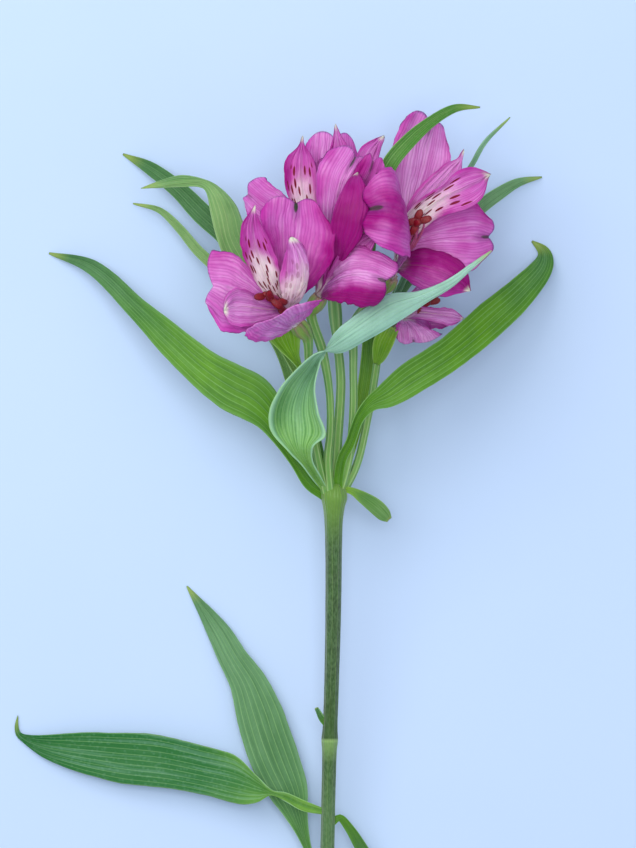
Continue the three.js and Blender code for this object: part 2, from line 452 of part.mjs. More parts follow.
        [[4.8, 94.9, 80], [7.1, 90.9, 78], [9.3, 87.1, 78]],
        [[10.4, 98.7, 80], [12, 95.3, 79], [13.8, 91.6, 79]],
        [[17.2, 99.1, 80], [17.2, 99.1, 80], [17.2, 99.1, 80]]],
    },
  },
  right: {
    base: [22.5, 83.5, 47], axis: [0.46, 0.62, 0.62], anthers: [[29.3, 101.8, 77], [33.3, 104.7, 80]],
    pedicel: [[2, -1, 31.5, 1.9], [6, 14, 36, 1.6], [7.8, 32, 39, 1.5], [7.8, 52, 41, 1.5],
      [8.6, 66, 42, 2.1]],
    tepals: {
      outer_left: [
        [[23.7, 84.7, 57.6], [23.9, 86.5, 57], [24.1, 88.5, 56.6]],
        [[26.8, 88.6, 69.1], [26.7, 94.8, 70], [25.3, 100.6, 70.1]],
        [[28.5, 90.8, 80], [28.1, 102, 82], [24.7, 114, 82]],
        [[26.9, 89.9, 86], [25.7, 106.6, 90], [22, 123.1, 89]],
        [[20.1, 92, 90], [20.1, 108.4, 94], [17.1, 123, 92]],
        [[12.3, 96.2, 89], [13.7, 107.7, 92], [12.4, 118.2, 91]]],
      outer_top: [
        [[23, 89.2, 53.3], [24.3, 89.6, 53], [25.7, 90, 53.3]],
        [[23.1, 101.3, 56.8], [26.9, 100.9, 56], [31.1, 100.9, 56.8]],
        [[21.6, 113, 56], [30, 112.3, 54], [38.3, 112.3, 56]],
        [[21.2, 124.5, 53], [33, 123.8, 51], [43.6, 123, 54]],
        [[23.9, 137.5, 51], [35.4, 134.6, 49], [44.8, 131.8, 51]],
        [[28.5, 147.2, 48], [37.3, 141.1, 46.5], [43.4, 137.6, 48]]],
      outer_right: [
        [[24.7, 92.6, 55.3], [25, 91.1, 55], [25.5, 89.5, 55.3]],
        [[30.2, 100.3, 61.8], [31, 95.5, 61], [31.7, 90.9, 61.8]],
        [[38.1, 105.5, 66], [38.9, 97.3, 64], [39.2, 88.6, 65]],
        [[46.4, 109.7, 66], [47.2, 98, 65], [47.2, 85.9, 66]],
        [[54.8, 111.2, 64], [54.4, 98.1, 63], [54, 85.6, 64]],
        [[59.7, 107.2, 62], [58.8, 98.1, 60.5], [59.4, 90.5, 61.5]]],
      inner_top: [
        [[23.5, 90.3, 54.3], [24.7, 90, 54], [25.8, 89.6, 54.3]],
        [[25.3, 101.2, 59.8], [27.6, 99.3, 59], [29.9, 97.8, 59.8]],
        [[29.8, 113.2, 62], [33.3, 109.8, 61], [36.7, 106.8, 62]],
        [[36.7, 121.1, 62], [39.7, 117.8, 61], [43.8, 114.7, 62]],
        [[42.7, 126, 60], [45.4, 124.3, 60], [48.4, 122, 60]],
        [[47, 127.5, 58], [48.1, 127.5, 58], [48.8, 127, 58]],
        [[49.7, 131.3, 55], [49.7, 131.3, 55], [49.7, 131.3, 55]]],
      inner_right: [
        [[23.7, 91, 55.3], [24.6, 89.9, 55], [25.6, 88.8, 55.3]],
        [[25.9, 102.8, 64.7], [27.9, 99.9, 63], [30.5, 97.5, 63.7]],
        [[31.2, 110.6, 72], [34.6, 108, 70], [38.8, 104.6, 71]],
        [[39.4, 116.1, 77], [42.5, 113.5, 75], [46.2, 107.1, 75]],
        [[47.7, 123.2, 77], [50, 116.9, 76], [54.1, 110.5, 76]],
        [[53, 124, 75], [54.9, 119.2, 75], [57.1, 114.6, 75]],
        [[56.6, 122.8, 74], [57.2, 120.7, 74], [58.1, 119, 74]],
        [[59.3, 121.3, 72], [59.3, 121.3, 72], [59.3, 121.3, 72]]],
      inner_low: [
        [[23.9, 85, 55], [24.3, 86.5, 55], [24.6, 88, 55]],
        [[28, 82.2, 61.4], [29.5, 87.5, 63], [30.6, 93.2, 61.4]],
        [[33.6, 78, 64], [36.2, 86.6, 68], [38.9, 93.1, 65]],
        [[39.6, 75.7, 65], [42.9, 83.9, 69], [47.5, 88.5, 66]],
        [[44.9, 76.1, 65], [48.3, 80.6, 67.5], [50.9, 82.5, 66]],
        [[51.7, 77.6, 65], [51.7, 77.6, 65], [51.7, 77.6, 65]]],
    },
  },
  low: {
    base: [25, 68.5, 28], axis: [0.72, 0.68, 0.1], anthers: [[32.9, 72.4, 37], [37.4, 75.1, 39]],
    pedicel: [[2.8, -0.5, 30, 1.7], [8.8, 11, 31, 1.5], [13.4, 30, 31, 1.4], [16.2, 46, 30, 1.4],
      [17.6, 56, 28.4, 1.4]],
    tepals: {
      outer_low: [
        [[32, 66.1, 36.4], [28.3, 65.9, 37], [25.1, 66.1, 37.4]],
        [[37.6, 63.7, 38.3], [29.8, 62.8, 40], [23.9, 64.5, 39.3]],
        [[42.1, 61, 36], [30.7, 58.6, 40], [24.5, 59.4, 38]]],
      outer_back: [
        [[33.7, 72.1, 22.2], [33.5, 68.5, 21], [33.4, 64.8, 21.2]],
        [[40.4, 71.7, 19.5], [40.1, 68.2, 17], [39.7, 64, 18.5]],
        [[45.5, 70.8, 18], [45.2, 67.8, 15], [44.4, 64.3, 17]]],
      outer_top: [
        [[30.5, 78.5, 32.6], [32.6, 75.2, 32], [34.8, 72, 31.6]],
        [[35.6, 82.8, 31.9], [37.9, 79.4, 31], [40.2, 76.7, 30.9]],
        [[40.3, 86, 29], [42.2, 82.9, 28], [44.9, 79.9, 28]]],
      inner_front: [
        [[33.1, 72.5, 38.3], [33.2, 70.1, 38], [33.5, 67.5, 38.3]],
        [[39.7, 71.5, 39.8], [40.1, 69.3, 39], [40.5, 66, 39.8]],
        [[45.5, 71.3, 38], [45.9, 68.6, 37.5], [45.8, 65.2, 38]],
        [[49.9, 67.7, 35], [49.9, 67.7, 35], [49.9, 67.7, 35]]],
      inner_top: [
        [[31.8, 75, 36], [32.9, 73.2, 36], [33.8, 71.6, 36]],
        [[37.1, 78.8, 37], [38.2, 76.6, 37], [39.4, 75, 37]],
        [[43.6, 80.5, 34], [43.6, 80.5, 34], [43.6, 80.5, 34]]],
      inner_low: [
        [[33.1, 68.3, 24.6], [31.2, 66.1, 24], [29.3, 64.1, 24.6]],
        [[37.3, 66.2, 21.6], [35.1, 63.5, 20], [32.7, 61.2, 21.6]],
        [[38.6, 60.5, 18], [38.6, 60.5, 18], [38.6, 60.5, 18]]],
    },
  },
};

// A tepal starts on the rim of the ovary with a narrow claw.
function tepalRows(flower, rows, inner) {
  const axis = vec(flower.axis).normalize();
  const base = vec(flower.base);
  const reach = vec(rows[0][1]).sub(base);
  const outward = reach.addScaledVector(axis, -reach.dot(axis)).normalize();
  const claw = base.addScaledVector(outward, inner ? 1.5 : 2.3).addScaledVector(axis, 1.4 * GAP);
  const side = new THREE.Vector3().crossVectors(axis, outward);
  const way = Math.sign(side.dot(vec(rows[0][2]).sub(vec(rows[0][0]))));
  side.multiplyScalar(way * (inner ? 1 : 1.6));
  return [[claw.clone().sub(side).toArray(), claw.toArray(), claw.clone().add(side).toArray()], ...rows];
}

// An outer tepal ends in two round lobes with a small point in the notch between them.
function lobes(length) {
  return (u, s) => length * Math.pow(s, 8) * 0.05 * (Math.sin(Math.PI * Math.abs(u)) - u ** 4);
}

function tepal(flower, rows, inner, grow = 0) {
  const stations = smoothRows(tepalRows(flower, rows, inner), 1);
  const length = stations[0][1].distanceTo(stations[stations.length - 1][1]);
  return sheet(stations, inner ? 5 : 7, TEPAL_THICK, inner ? noShift : lobes(length), grow);
}

// The pedicel swells into the six-ribbed ovary, which grows out of it in one piece.
function pedicelStations(flower) {
  const axis = vec(flower.axis).normalize();
  const along = (d, r) => [...vec(flower.base).addScaledVector(axis, d).toArray(), r];
  return [
    ...flower.pedicel,
    along(-OVARY_LENGTH, 0.62 * OVARY_RADIUS),
    along(-0.62 * OVARY_LENGTH, 0.95 * OVARY_RADIUS),
    along(-0.3 * OVARY_LENGTH, OVARY_RADIUS),
    along(0, 0.8 * OVARY_RADIUS),
  ];
}

function pedicel(flower, grow = 0) {
  const stations = pedicelStations(flower);
  return tube(stations, 6, stations.length + 1, grow);
}

// Six curved filaments with their anthers and the style, grown together on one small disc.
function stamenPaths(flower) {
  const axis = vec(flower.axis).normalize();
  const base = vec(flower.base);
  const [first, last] = flower.anthers.map(vec);
  const middle = first.clone().lerp(last, 0.5);
  const lie = last.clone().sub(first).normalize();
  const east = new THREE.Vector3().crossVectors(lie, UP).normalize();
  const north = new THREE.Vector3().crossVectors(east, lie);
  const reach = middle.distanceTo(base);
  return [0.1, 0.62, 0.3, 0.85, 0.45, 1, 0.5].map((share, i) => {
    const angle = i * Math.PI / 3 + 0.3;
    const out = east.clone().multiplyScalar(Math.cos(angle)).addScaledVector(north, Math.sin(angle));
    const wide = i === 6 ? 0 : 1;
    const end = first.clone().lerp(last, share).addScaledVector(out, ANTHER_SPREAD * wide);
    const start = base.clone().addScaledVector(axis, 0.8).addScaledVector(out, 0.7 * wide);
    const mid = base.clone().addScaledVector(axis, 0.5 * reach).lerp(end, 0.45)
      .addScaledVector(out, 0.6 * wide);
    const heading = lie.clone().addScaledVector(out, i % 2 ? 0.5 : -0.5).normalize();
    return { start, mid, end, heading };
  });
}

function stamens(flower, grow = 0) {
  const axis = vec(flower.axis).normalize();
  const disc = (d, r) => [...vec(flower.base).addScaledVector(axis, d).toArray(), r];
  const round = (p, r) => [...p.toArray(), r];
  const parts = [tube([disc(1.3 * GAP, 1.2), disc(1.8, 0.8)], 6, 1, grow)];
  stamenPaths(flower).forEach(({ start, mid, end, heading }, i) => {
    parts.push(tube([start, mid, end].map((p) => round(p, FILAMENT_RADIUS)), 4, 2, grow));
    if (i < 6) {
      const half = heading.clone().multiplyScalar(0.5 * ANTHER_LENGTH);
      parts.push(tube([
        round(end.clone().sub(half), 0.45 * ANTHER_RADIUS),
        round(end, ANTHER_RADIUS),
        round(end.clone().add(half), 0.4 * ANTHER_RADIUS),
      ], 6, 2, grow));
    }
  });
  return wasm.Manifold.union(parts);
}

// ---- Main stem ----

const STEM_SLOPE = (WHORL_HEIGHT - STEM_RADIUS) / STEM_BELOW_WHORL;
const stemHeight = (y) => WHORL_HEIGHT + STEM_SLOPE * y;

// Each station is [x, y, radius]; the height follows from the slope of the stem.
const STEM_STATIONS = [
  [0.6, 5.4, 1.6], [0.6, 4.4, 3], [0.5, 2.2, 4.5], [0.5, -0.6, 5.1], [0.4, -4, 4.3], [0.3, -9.5, 3.6],
  [0.3, -21, 3.25], [0.2, -44.5, 3.05],
  [-0.6, -77.5, STEM_RADIUS], [-1, -90, 2.9], [-1.1, -94, 3.2], [-1.2, -98, 2.85],
  [-1.6, -115, 2.7], [-2, -134, 2.7], [-3, -170, 2.75], [-4, -STEM_BELOW_WHORL, STEM_RADIUS],
];

const stem = (grow = 0) => tube(
  STEM_STATIONS.map(([x, y, r]) => [x, y, stemHeight(y), r]),
  10,
  STEM_STATIONS.length - 1,
  grow,
);

// The stub of a torn leaf, which is still part of the stem.
const TORN_STUB = [[-2.4, -88, stemHeight(-88) + 0.6, 1.3, 0, 30], [-4.2, -85.8, 20.8, 1.3, 0, 40],
  [-6.4, -81.6, 21.6, 0.6, 0, 20]];

// ---- Assembly ----

const pieces = [];

// Keeps the largest body of a solid; a trim can leave crumbs behind it.
function largest(solid) {
  const bodies = solid.decompose();
  return bodies.reduce((best, body) => (body.volume() > best.volume() ? body : best));
}

// Adds a piece, cut back by GAP from every piece already placed that it would run into.
function place(name, colour, roughness, make) {
  let solid = make(0);
  let trimmed = false;
  pieces.forEach((other) => {
    if (!solid.intersect(other.grown).isEmpty()) {
      solid = solid.subtract(other.grown);
      trimmed = true;
    }
  });
  if (trimmed) {
    solid = largest(largest(solid).simplify(0.05));
  }
  pieces.push({ name, colour, roughness, solid, grown: make(GAP).add(solid) });
}

place('main_stem', STEM_GREEN, 0.5, (grow) => (
  grow ? stem(grow) : stem().add(blade(leafRows(TORN_STUB), 1, LEAF_POINTS))
));
Object.entries(FLOWERS).forEach(([which, flower]) => {
  place(`${which}_flower_pedicel_ovary`, OVARY_GREEN, 0.5, (grow) => pedicel(flower, grow));
});
Object.entries(FLOWERS).forEach(([which, flower]) => {
  place(`${which}_flower_stamens`, ANTHER_RED, 0.6, (grow) => stamens(flower, grow));
});
Object.entries(FLOWERS).forEach(([which, flower]) => {
  Object.entries(flower.tepals).forEach(([where, rows]) => {
    const inner = where.startsWith('inner');
    place(`${which}_flower_tepal_${where}`, inner ? MAGENTA : MAUVE, 0.45,
      (grow) => tepal(flower, rows, inner, grow));
  });
});
Object.entries(BROAD_LEAVES).forEach(([name, { colour, rows, steps = 1 }]) => {
  place(name, colour, 0.5, (grow) => blade(rows, steps, BROAD_LEAF_POINTS, grow));
});
Object.entries(LEAVES).forEach(([name, { colour, stations }]) => {
  place(name, colour, 0.5, (grow) => blade(leafRows(stations), 1, LEAF_POINTS, grow));
});

function geometryOf(solid) {
  const mesh = solid.getMesh();
  const geometry = new THREE.BufferGeometry();
  const positions = [];
  for (let i = 0; i < mesh.numVert; i++) {
    positions.push(...mesh.vertProperties.slice(i * mesh.numProp, i * mesh.numProp + 3));
  }
  geometry.setAttribute('position', new THREE.BufferAttribute(new Float32Array(positions), 3));
  geometry.setIndex(new THREE.BufferAttribute(new Uint32Array(mesh.triVerts), 1));
  geometry.computeVertexNormals();
  return geometry;
}

const stemGroup = new THREE.Group();
stemGroup.position.fromArray(FRAME_SHIFT);
pieces.forEach(({ name, colour, roughness, solid }) => {
  const material = new THREE.MeshStandardMaterial({ color: colour, roughness, metalness: 0 });
  const mesh = new THREE.Mesh(geometryOf(solid), material);
  mesh.name = name;
  stemGroup.add(mesh);
});

const object = new THREE.Group();
object.name = 'alstroemeria_stem';
object.add(stemGroup);

export default object;
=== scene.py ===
"""A cut alstroemeria stem lying on a pale table: stem, leaves, and an umbel of five open flowers."""

import math

import bpy
import numpy as np
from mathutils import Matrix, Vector


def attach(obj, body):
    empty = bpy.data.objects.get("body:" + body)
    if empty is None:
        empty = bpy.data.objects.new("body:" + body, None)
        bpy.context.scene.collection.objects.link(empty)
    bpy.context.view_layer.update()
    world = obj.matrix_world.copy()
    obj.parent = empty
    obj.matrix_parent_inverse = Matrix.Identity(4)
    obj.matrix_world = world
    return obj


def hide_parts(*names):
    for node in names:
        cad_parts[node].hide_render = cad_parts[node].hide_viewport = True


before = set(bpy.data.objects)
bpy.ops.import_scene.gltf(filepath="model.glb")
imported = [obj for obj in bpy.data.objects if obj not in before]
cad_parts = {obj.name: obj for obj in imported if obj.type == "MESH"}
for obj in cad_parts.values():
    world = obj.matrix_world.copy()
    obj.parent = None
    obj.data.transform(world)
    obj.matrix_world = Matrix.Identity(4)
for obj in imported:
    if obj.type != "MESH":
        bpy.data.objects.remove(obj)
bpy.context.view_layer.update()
scene = bpy.context.scene

# ---- Sizes, in millimetres along the lie of the stem: the whorl is at x 0, y 0 ----
MM = 0.001
FRAME_SHIFT = np.array([19.1, 30.3, -0.1])   # from the whorl to the middle of the whole stem's box
STEM_BELOW_WHORL = 209
STEM_RADIUS = 2.8
WHORL_HEIGHT = 32
LOWER_NODE = -64.0   # the ring of the lower node, along the middle of the stem's box
LEAF_THICK = 0.6
TEPAL_THICK = 0.45
OVARY_RADIUS = 3.1
OVARY_LENGTH = 9
FILAMENT_RADIUS = 0.45
ANTHER_LENGTH = 5.4
ANTHER_RADIUS = 1.15
GRAIN_RADIUS = 0.09
GRAINS_PER_AREA = 5.0   # for each square millimetre
STAMENS = 6
UP = np.array([0.0, 0.0, 1.0])
WELD = 1e-6   # seams closer than this, in metres, close
SPAN_STEPS = 8   # samples of a line between two stations
ROW_STEPS = 10   # the same, where the stations are rows of three points


def unit(v):
    v = np.asarray(v, float)
    return v / np.linalg.norm(v, axis=-1, keepdims=True)


def colour(code):
    """A linear colour from its usual hexadecimal name."""
    parts = [int(code[i:i + 2], 16) / 255 for i in (1, 3, 5)]
    return [c / 12.92 if c <= 0.04045 else ((c + 0.055) / 1.055) ** 2.4 for c in parts] + [1.0]


# ---- Node trees: wires, and the nodes that arithmetic on them adds ----

class Wire:
    """A value on its way through a node tree; arithmetic on it adds Math nodes to the tree."""

    def __init__(self, tree, socket):
        self.tree = tree
        self.socket = socket

    def through(self, operation, *others):
        """This value and others through one Math or Vector Math node."""
        vector = self.is_vector or any(isinstance(o, Wire) and o.is_vector for o in others)
        node = self.tree.nodes.new("ShaderNodeVectorMath" if vector else "ShaderNodeMath")
        node.operation = operation
        if operation == "SCALE":
            plug(self.tree, node.inputs["Vector"], self)
            plug(self.tree, node.inputs["Scale"], others[0])
        else:
            for socket, value in zip(node.inputs, (self, *others)):
                plug(self.tree, socket, value)
        return Wire(self.tree, node.outputs["Vector" if vector else "Value"])

    @property
    def is_vector(self):
        return self.socket.type == "VECTOR"

    def __add__(self, other):
        return self.through("ADD", other)

    def __sub__(self, other):
        return self.through("SUBTRACT", other)

    def __mul__(self, other):
        if self.is_vector and not (isinstance(other, Wire) and other.is_vector):
            return self.through("SCALE", other)
        return self.through("MULTIPLY", other)

    def __truediv__(self, other):
        return self.through("DIVIDE", other)

    def __pow__(self, other):
        return self.through("POWER", other)

    def __abs__(self):
        return self.through("ABSOLUTE")

    def less_from(self, whole):
        """whole minus this value."""
        return (self * -1.0) + whole

    def sin(self):
        return self.through("SINE")

    def cos(self):
        return self.through("COSINE")

    def above(self, limit):
        """1 where this value is over the limit, else 0."""
        return self.through("GREATER_THAN", limit)

    def kept(self):
        """This value held between 0 and 1."""
        out = self.through("ADD", 0.0)
        out.socket.node.use_clamp = True
        return out

    def eased(self, low, high):
        """A smooth step from 0 at low to 1 at high, or the other way round where low is the higher."""
        node = add(self.tree, "ShaderNodeMapRange", {"interpolation_type": "SMOOTHSTEP"},
                   Value=self, From_Min=low, From_Max=high)
        return wire(node, "Result")


def plug(tree, socket, value):
    """Links a wire into a socket, or sets a plain value on it."""
    if isinstance(value, Wire):
        tree.links.new(value.socket, socket)
    elif value is not None:
        socket.default_value = value


def add(tree, kind, settings=None, **inputs):
    """A new node with its settings, and its inputs by name with _ for a space."""
    node = tree.nodes.new(kind)
    for name, value in (settings or {}).items():
        setattr(node, name, value)
    for name, value in inputs.items():
        plug(tree, node.inputs[name.replace("_", " ")], value)
    return node


def wire(node, name):
    return Wire(node.id_data, node.outputs[name])


def point(tree, x, y, z=None):
    """A place made of three values."""
    return wire(add(tree, "ShaderNodeCombineXYZ", X=x, Y=y, Z=z), "Vector")


def open_tree(name, kind, inputs, outputs):
    """A node group with named inputs and outputs; returns it, its input wires by name and its output node."""
    tree = bpy.data.node_groups.new(name, kind)
    for label, socket_type in outputs.items():
        tree.interface.new_socket(label, in_out="OUTPUT", socket_type=socket_type)
    for label, socket_type in inputs.items():
        tree.interface.new_socket(label, in_out="INPUT", socket_type=socket_type)
    source = tree.nodes.new("NodeGroupInput")
    return tree, {label: wire(source, label) for label in inputs}, tree.nodes.new("NodeGroupOutput")


# ---- Geometry Nodes: blades, stalks and pollen ----

FLOAT, COUNT = "NodeSocketFloat", "NodeSocketInt"
SOLID, SKIN = "NodeSocketGeometry", "NodeSocketMaterial"
LINE_LOOKS = {"face": "FLOAT_VECTOR", "wing": "FLOAT_VECTOR", "lift": "FLOAT_VECTOR",
              "radius": "FLOAT", "rib": "FLOAT"}
BLADE_SIZES = ("Thickness", "Length", "Ribs", "Rib Height", "Ruffle", "Ruffle Waves", "Folds", "Crinkle",
               "Edge Wave", "Lobe", "Taper", "Seed", "Deep Left", "Deep Middle", "Deep Right", "Deep End",
               "Pale", "Claw", "Marks")
STALK_SIZES = ("Ribs", "Rib Height", "Unevenness", "Seed")
MARGIN_THINNING = 130.0   # the higher, the narrower the thin margin of a blade
GRAIN_SIZES = ((0.6, 0.6, 0.6), (1.2, 1.2, 1.2))


def named(tree, name, data_type="FLOAT"):
    node = add(tree, "GeometryNodeInputNamedAttribute", {"data_type": data_type}, Name=name)
    return wire(node, "Attribute")


def store(geometry, name, value, data_type="FLOAT", domain="POINT"):
    """The geometry with a value kept on it under a name."""
    return shaped("StoreNamedAttribute", geometry, {"data_type": data_type, "domain": domain},
                  Name=name, Value=value)


def shaped(kind, geometry, settings=None, **inputs):
    """The geometry after one node that takes it in and gives it out again."""
    node = add(geometry.tree, "GeometryNode" + kind, settings, Geometry=geometry, **inputs)
    return wire(node, "Geometry")


def curve_of(tree, line):
    return wire(add(tree, "GeometryNodeMeshToCurve", Mesh=line), "Curve")


def curve_sample(tree, curve, share, settings=None, **inputs):
    """The node that reads a curve at a share of its length."""
    settings = {"mode": "FACTOR", "use_all_curves": True, **(settings or {})}
    return add(tree, "GeometryNodeSampleCurve", settings, Curves=curve, Factor=share, **inputs)


def sampled(tree, curve, along, name):
    """An attribute of the line at the share of its length that along gives."""
    kind = LINE_LOOKS[name]
    return wire(curve_sample(tree, curve, along, {"data_type": kind}, Value=named(tree, name, kind)), "Value")


def flat_grid(tree, columns, rows):
    """A grid that carries its across (-1 to 1) and along (0 to 1) as the UV map named lie."""
    grid = add(tree, "GeometryNodeMeshGrid", Size_X=1.0, Size_Y=1.0, Vertices_X=columns, Vertices_Y=rows)
    place = wire(add(tree, "GeometryNodeInputPosition"), "Position")
    mesh = store(wire(grid, "Mesh"), "lie", place + (0.5, 0.5, 0.0), "FLOAT2", "CORNER")
    parts = add(tree, "ShaderNodeSeparateXYZ", Vector=named(tree, "lie", "FLOAT_VECTOR"))
    return mesh, wire(parts, "X") * 2.0 - 1.0, wire(parts, "Y")


def close_tree(output, mesh, material):
    """Welds the seams, smooths, realises and sets the material."""
    mesh = shaped("MergeByDistance", mesh, Distance=WELD)
    mesh = shaped("SetShadeSmooth", mesh)
    mesh = shaped("RealizeInstances", mesh)
    mesh = shaped("SetMaterial", mesh, Material=material)
    plug(mesh.tree, output.inputs["Mesh"], mesh)
    return mesh.tree


def noise_at(tree, vector, scale, detail=2.0):
    """Smooth noise from -1 to 1."""
    node = add(tree, "ShaderNodeTexNoise", Vector=vector, Scale=scale, Detail=detail)
    return (wire(node, node.outputs[0].name) - 0.5) * 2.0


def blade_tree():
    """A closed thin blade along a midrib: the leaves, the tepals and the bracteoles."""
    tree, size, output = open_tree("blade", "GeometryNodeTree", {
        "Midrib": SOLID, "Columns": COUNT, "Rows": COUNT, **dict.fromkeys(BLADE_SIZES, FLOAT),
        "Material": SKIN,
    }, {"Mesh": SOLID})
    curve = curve_of(tree, size["Midrib"])
    mesh, across, along = flat_grid(tree, size["Columns"], size["Rows"])
    line = curve_sample(tree, curve, along)
    outer = abs(across)
    # Across the midrib the blade is a curve through the left margin, the midrib and the right margin.
    edge = point(tree, across, along * size["Ruffle Waves"] * 2.2, size["Seed"] + 7.0)
    wave = noise_at(tree, edge, 1.0, 3.0) * size["Edge Wave"] * outer ** 3.0 + 1.0
    spread = sampled(tree, curve, along, "wing") * (across * wave)
    spread = spread + sampled(tree, curve, along, "lift") * (across * across)
    # The end runs out into two round lobes beside a notch, or shortens towards the margins.
    lobes = (outer * math.pi).sin() * size["Lobe"] - outer ** 4.0 * size["Taper"]
    forward = wire(line, "Tangent") * (lobes * size["Length"] * along ** 8.0)
    mesh = shaped("SetPosition", mesh, Position=wire(line, "Position") + spread + forward)
    # How deep, how pale and how marked the blade's colour is, for the finish to read; on some tepals depth
    # and paleness are partly painted shade and painted light.
    rightward = across.above(0.0)
    margin = size["Deep Right"] * rightward + size["Deep Left"] * rightward.less_from(1.0)
    deep = size["Deep Middle"] + (margin - size["Deep Middle"]) * outer ** 1.1
    mesh = store(mesh, "deep", deep + size["Deep End"] * along ** 3.0)
    for look in ("Pale", "Claw", "Marks"):
        mesh = store(mesh, look.lower(), size[look])
    # Parallel ribs that fade towards the margins, soft ruffles at the margins, long folds, a fine crinkle.
    rib_fade = (outer ** 5.0).less_from(1.0)
    ribs = (across * size["Ribs"] * math.pi).cos() * size["Rib Height"] * rib_fade
    spot = point(tree, across * 0.9, along * size["Ruffle Waves"], size["Seed"])
    ruffles = noise_at(tree, spot, 1.0, 1.0) * size["Ruffle"] * outer ** 1.7 * along.eased(0.05, 0.4)
    crinkle = noise_at(tree, spot, 3.1) * size["Crinkle"]
    pleat = point(tree, across * 2.6, along * 1.1, size["Seed"] + 20.0)
    folds = noise_at(tree, pleat, 1.0, 1.0) * size["Folds"] * along
    normal = wire(add(tree, "GeometryNodeInputNormal"), "Normal")
    mesh = shaped("SetPosition", mesh, Offset=normal * (ribs + ruffles + crinkle + folds))
    # The two faces of the blade meet in a thin margin.
    thin = (outer.less_from(1.0) * along * along.less_from(1.0) * MARGIN_THINNING).kept() ** 0.5
    offset = wire(add(tree, "GeometryNodeInputNormal"), "Normal") * (thin * size["Thickness"] * 0.5)
    upper = shaped("SetPosition", mesh, Offset=offset)
    upper = store(upper, "under", 0.0, domain="FACE")
    lower = shaped("SetPosition", mesh, Offset=offset * -1.0)
    lower = wire(add(tree, "GeometryNodeFlipFaces", Mesh=lower), "Mesh")
    lower = store(lower, "under", 1.0, domain="FACE")
    both = add(tree, "GeometryNodeJoinGeometry")
    plug(tree, both.inputs["Geometry"], lower)
    plug(tree, both.inputs["Geometry"], upper)
    return close_tree(output, wire(both, "Geometry"), size["Material"])


def stalk_tree():
    """A closed round stalk along a line: the stem, the pedicels with their ovaries, filaments and anthers."""
    tree, size, output = open_tree("stalk", "GeometryNodeTree", {
        "Line": SOLID, "Columns": COUNT, "Rows": COUNT, **dict.fromkeys(STALK_SIZES, FLOAT), "Material": SKIN,
    }, {"Mesh": SOLID})
    curve = curve_of(tree, size["Line"])
    mesh, across, along = flat_grid(tree, size["Columns"], size["Rows"])
    # The first and the last row close the ends: they share the place of their neighbours with no radius.
    row = along * (size["Rows"] - 1.0)
    reach = ((row - 1.0) / (size["Rows"] - 3.0)).kept()
    open_row = row.above(0.5) * row.less_from(0.0).above(size["Rows"].less_from(1.5))
    line = curve_sample(tree, curve, reach)
    face = sampled(tree, curve, reach, "face")
    side = wire(line, "Tangent").through("CROSS_PRODUCT", face).through("NORMALIZE")
    angle = across * math.pi
    spot = point(tree, angle.cos(), angle.sin(), reach * 9.0 + size["Seed"])
    lump = noise_at(tree, spot, 1.3) * size["Unevenness"]
    ridge = (angle * size["Ribs"]).cos() * size["Rib Height"] * sampled(tree, curve, reach, "rib")
    radius = (sampled(tree, curve, reach, "radius") + ridge + lump) * open_row
    moved = wire(line, "Position") + side * (radius * angle.cos()) + face * (radius * angle.sin())
    mesh = shaped("SetPosition", mesh, Position=moved)
    mesh = wire(add(tree, "GeometryNodeFlipFaces", Mesh=mesh), "Mesh")
    return close_tree(output, mesh, size["Material"])


def pollen_tree():
    """Grains scattered over the anthers."""
    tree, size, output = open_tree("pollen", "GeometryNodeTree", {
        "Anthers": SOLID, "Grain Radius": FLOAT, "Grains per Area": FLOAT, "Seed": COUNT, "Material": SKIN,
    }, {"Mesh": SOLID})
    spots = add(tree, "GeometryNodeDistributePointsOnFaces", Mesh=size["Anthers"],
                Density=size["Grains per Area"], Seed=size["Seed"])
    grain = add(tree, "GeometryNodeMeshIcoSphere", Radius=size["Grain Radius"], Subdivisions=1)
    scale = add(tree, "FunctionNodeRandomValue", {"data_type": "FLOAT_VECTOR"}, Seed=size["Seed"])
    scale.inputs[0].default_value, scale.inputs[1].default_value = GRAIN_SIZES
    grains = add(tree, "GeometryNodeInstanceOnPoints", Points=wire(spots, "Points"),
                 Instance=wire(grain, "Mesh"), Scale=Wire(tree, scale.outputs[0]))
    mesh = shaped("RealizeInstances", wire(grains, "Instances"))
    mesh = shaped("SetMaterial", mesh, Material=size["Material"])
    plug(tree, output.inputs["Mesh"], mesh)
    return tree


BLADE = blade_tree()
STALK = stalk_tree()
POLLEN = pollen_tree()


def grown(tree, name, start, **sizes):
    """The plain mesh object that a tree makes of a starting mesh."""
    sprout = bpy.data.objects.new(name + "_start", start)
    scene.collection.objects.link(sprout)
    modifier = sprout.modifiers.new("grow", "NODES")
    modifier.node_group = tree
    for item in tree.interface.items_tree:
        label = item.name.replace(" ", "_")
        if item.in_out == "INPUT" and label in sizes:
            modifier[item.identifier] = sizes[label]
    depsgraph = bpy.context.evaluated_depsgraph_get()
    mesh = bpy.data.meshes.new_from_object(sprout.evaluated_get(depsgraph))
    bpy.data.objects.remove(sprout)
    mesh.name = name
    piece = bpy.data.objects.new(name, mesh)
    scene.collection.objects.link(piece)
    return piece


def joined(name, parts):
    """One object from several, keeping their materials and attributes."""
    with bpy.context.temp_override(active_object=parts[0], selected_editable_objects=parts):
        bpy.ops.object.join()
    parts[0].name = name
    parts[0].data.name = name
    return parts[0]


def finished(piece, node):
    """Puts a piece under its body and hides the solid that it stands for."""
    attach(piece, "root")
    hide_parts(node)


# ---- Lines that pieces grow along ----

LEAN = 0.01   # turns the first face a little, so that it never lies along an upright stalk


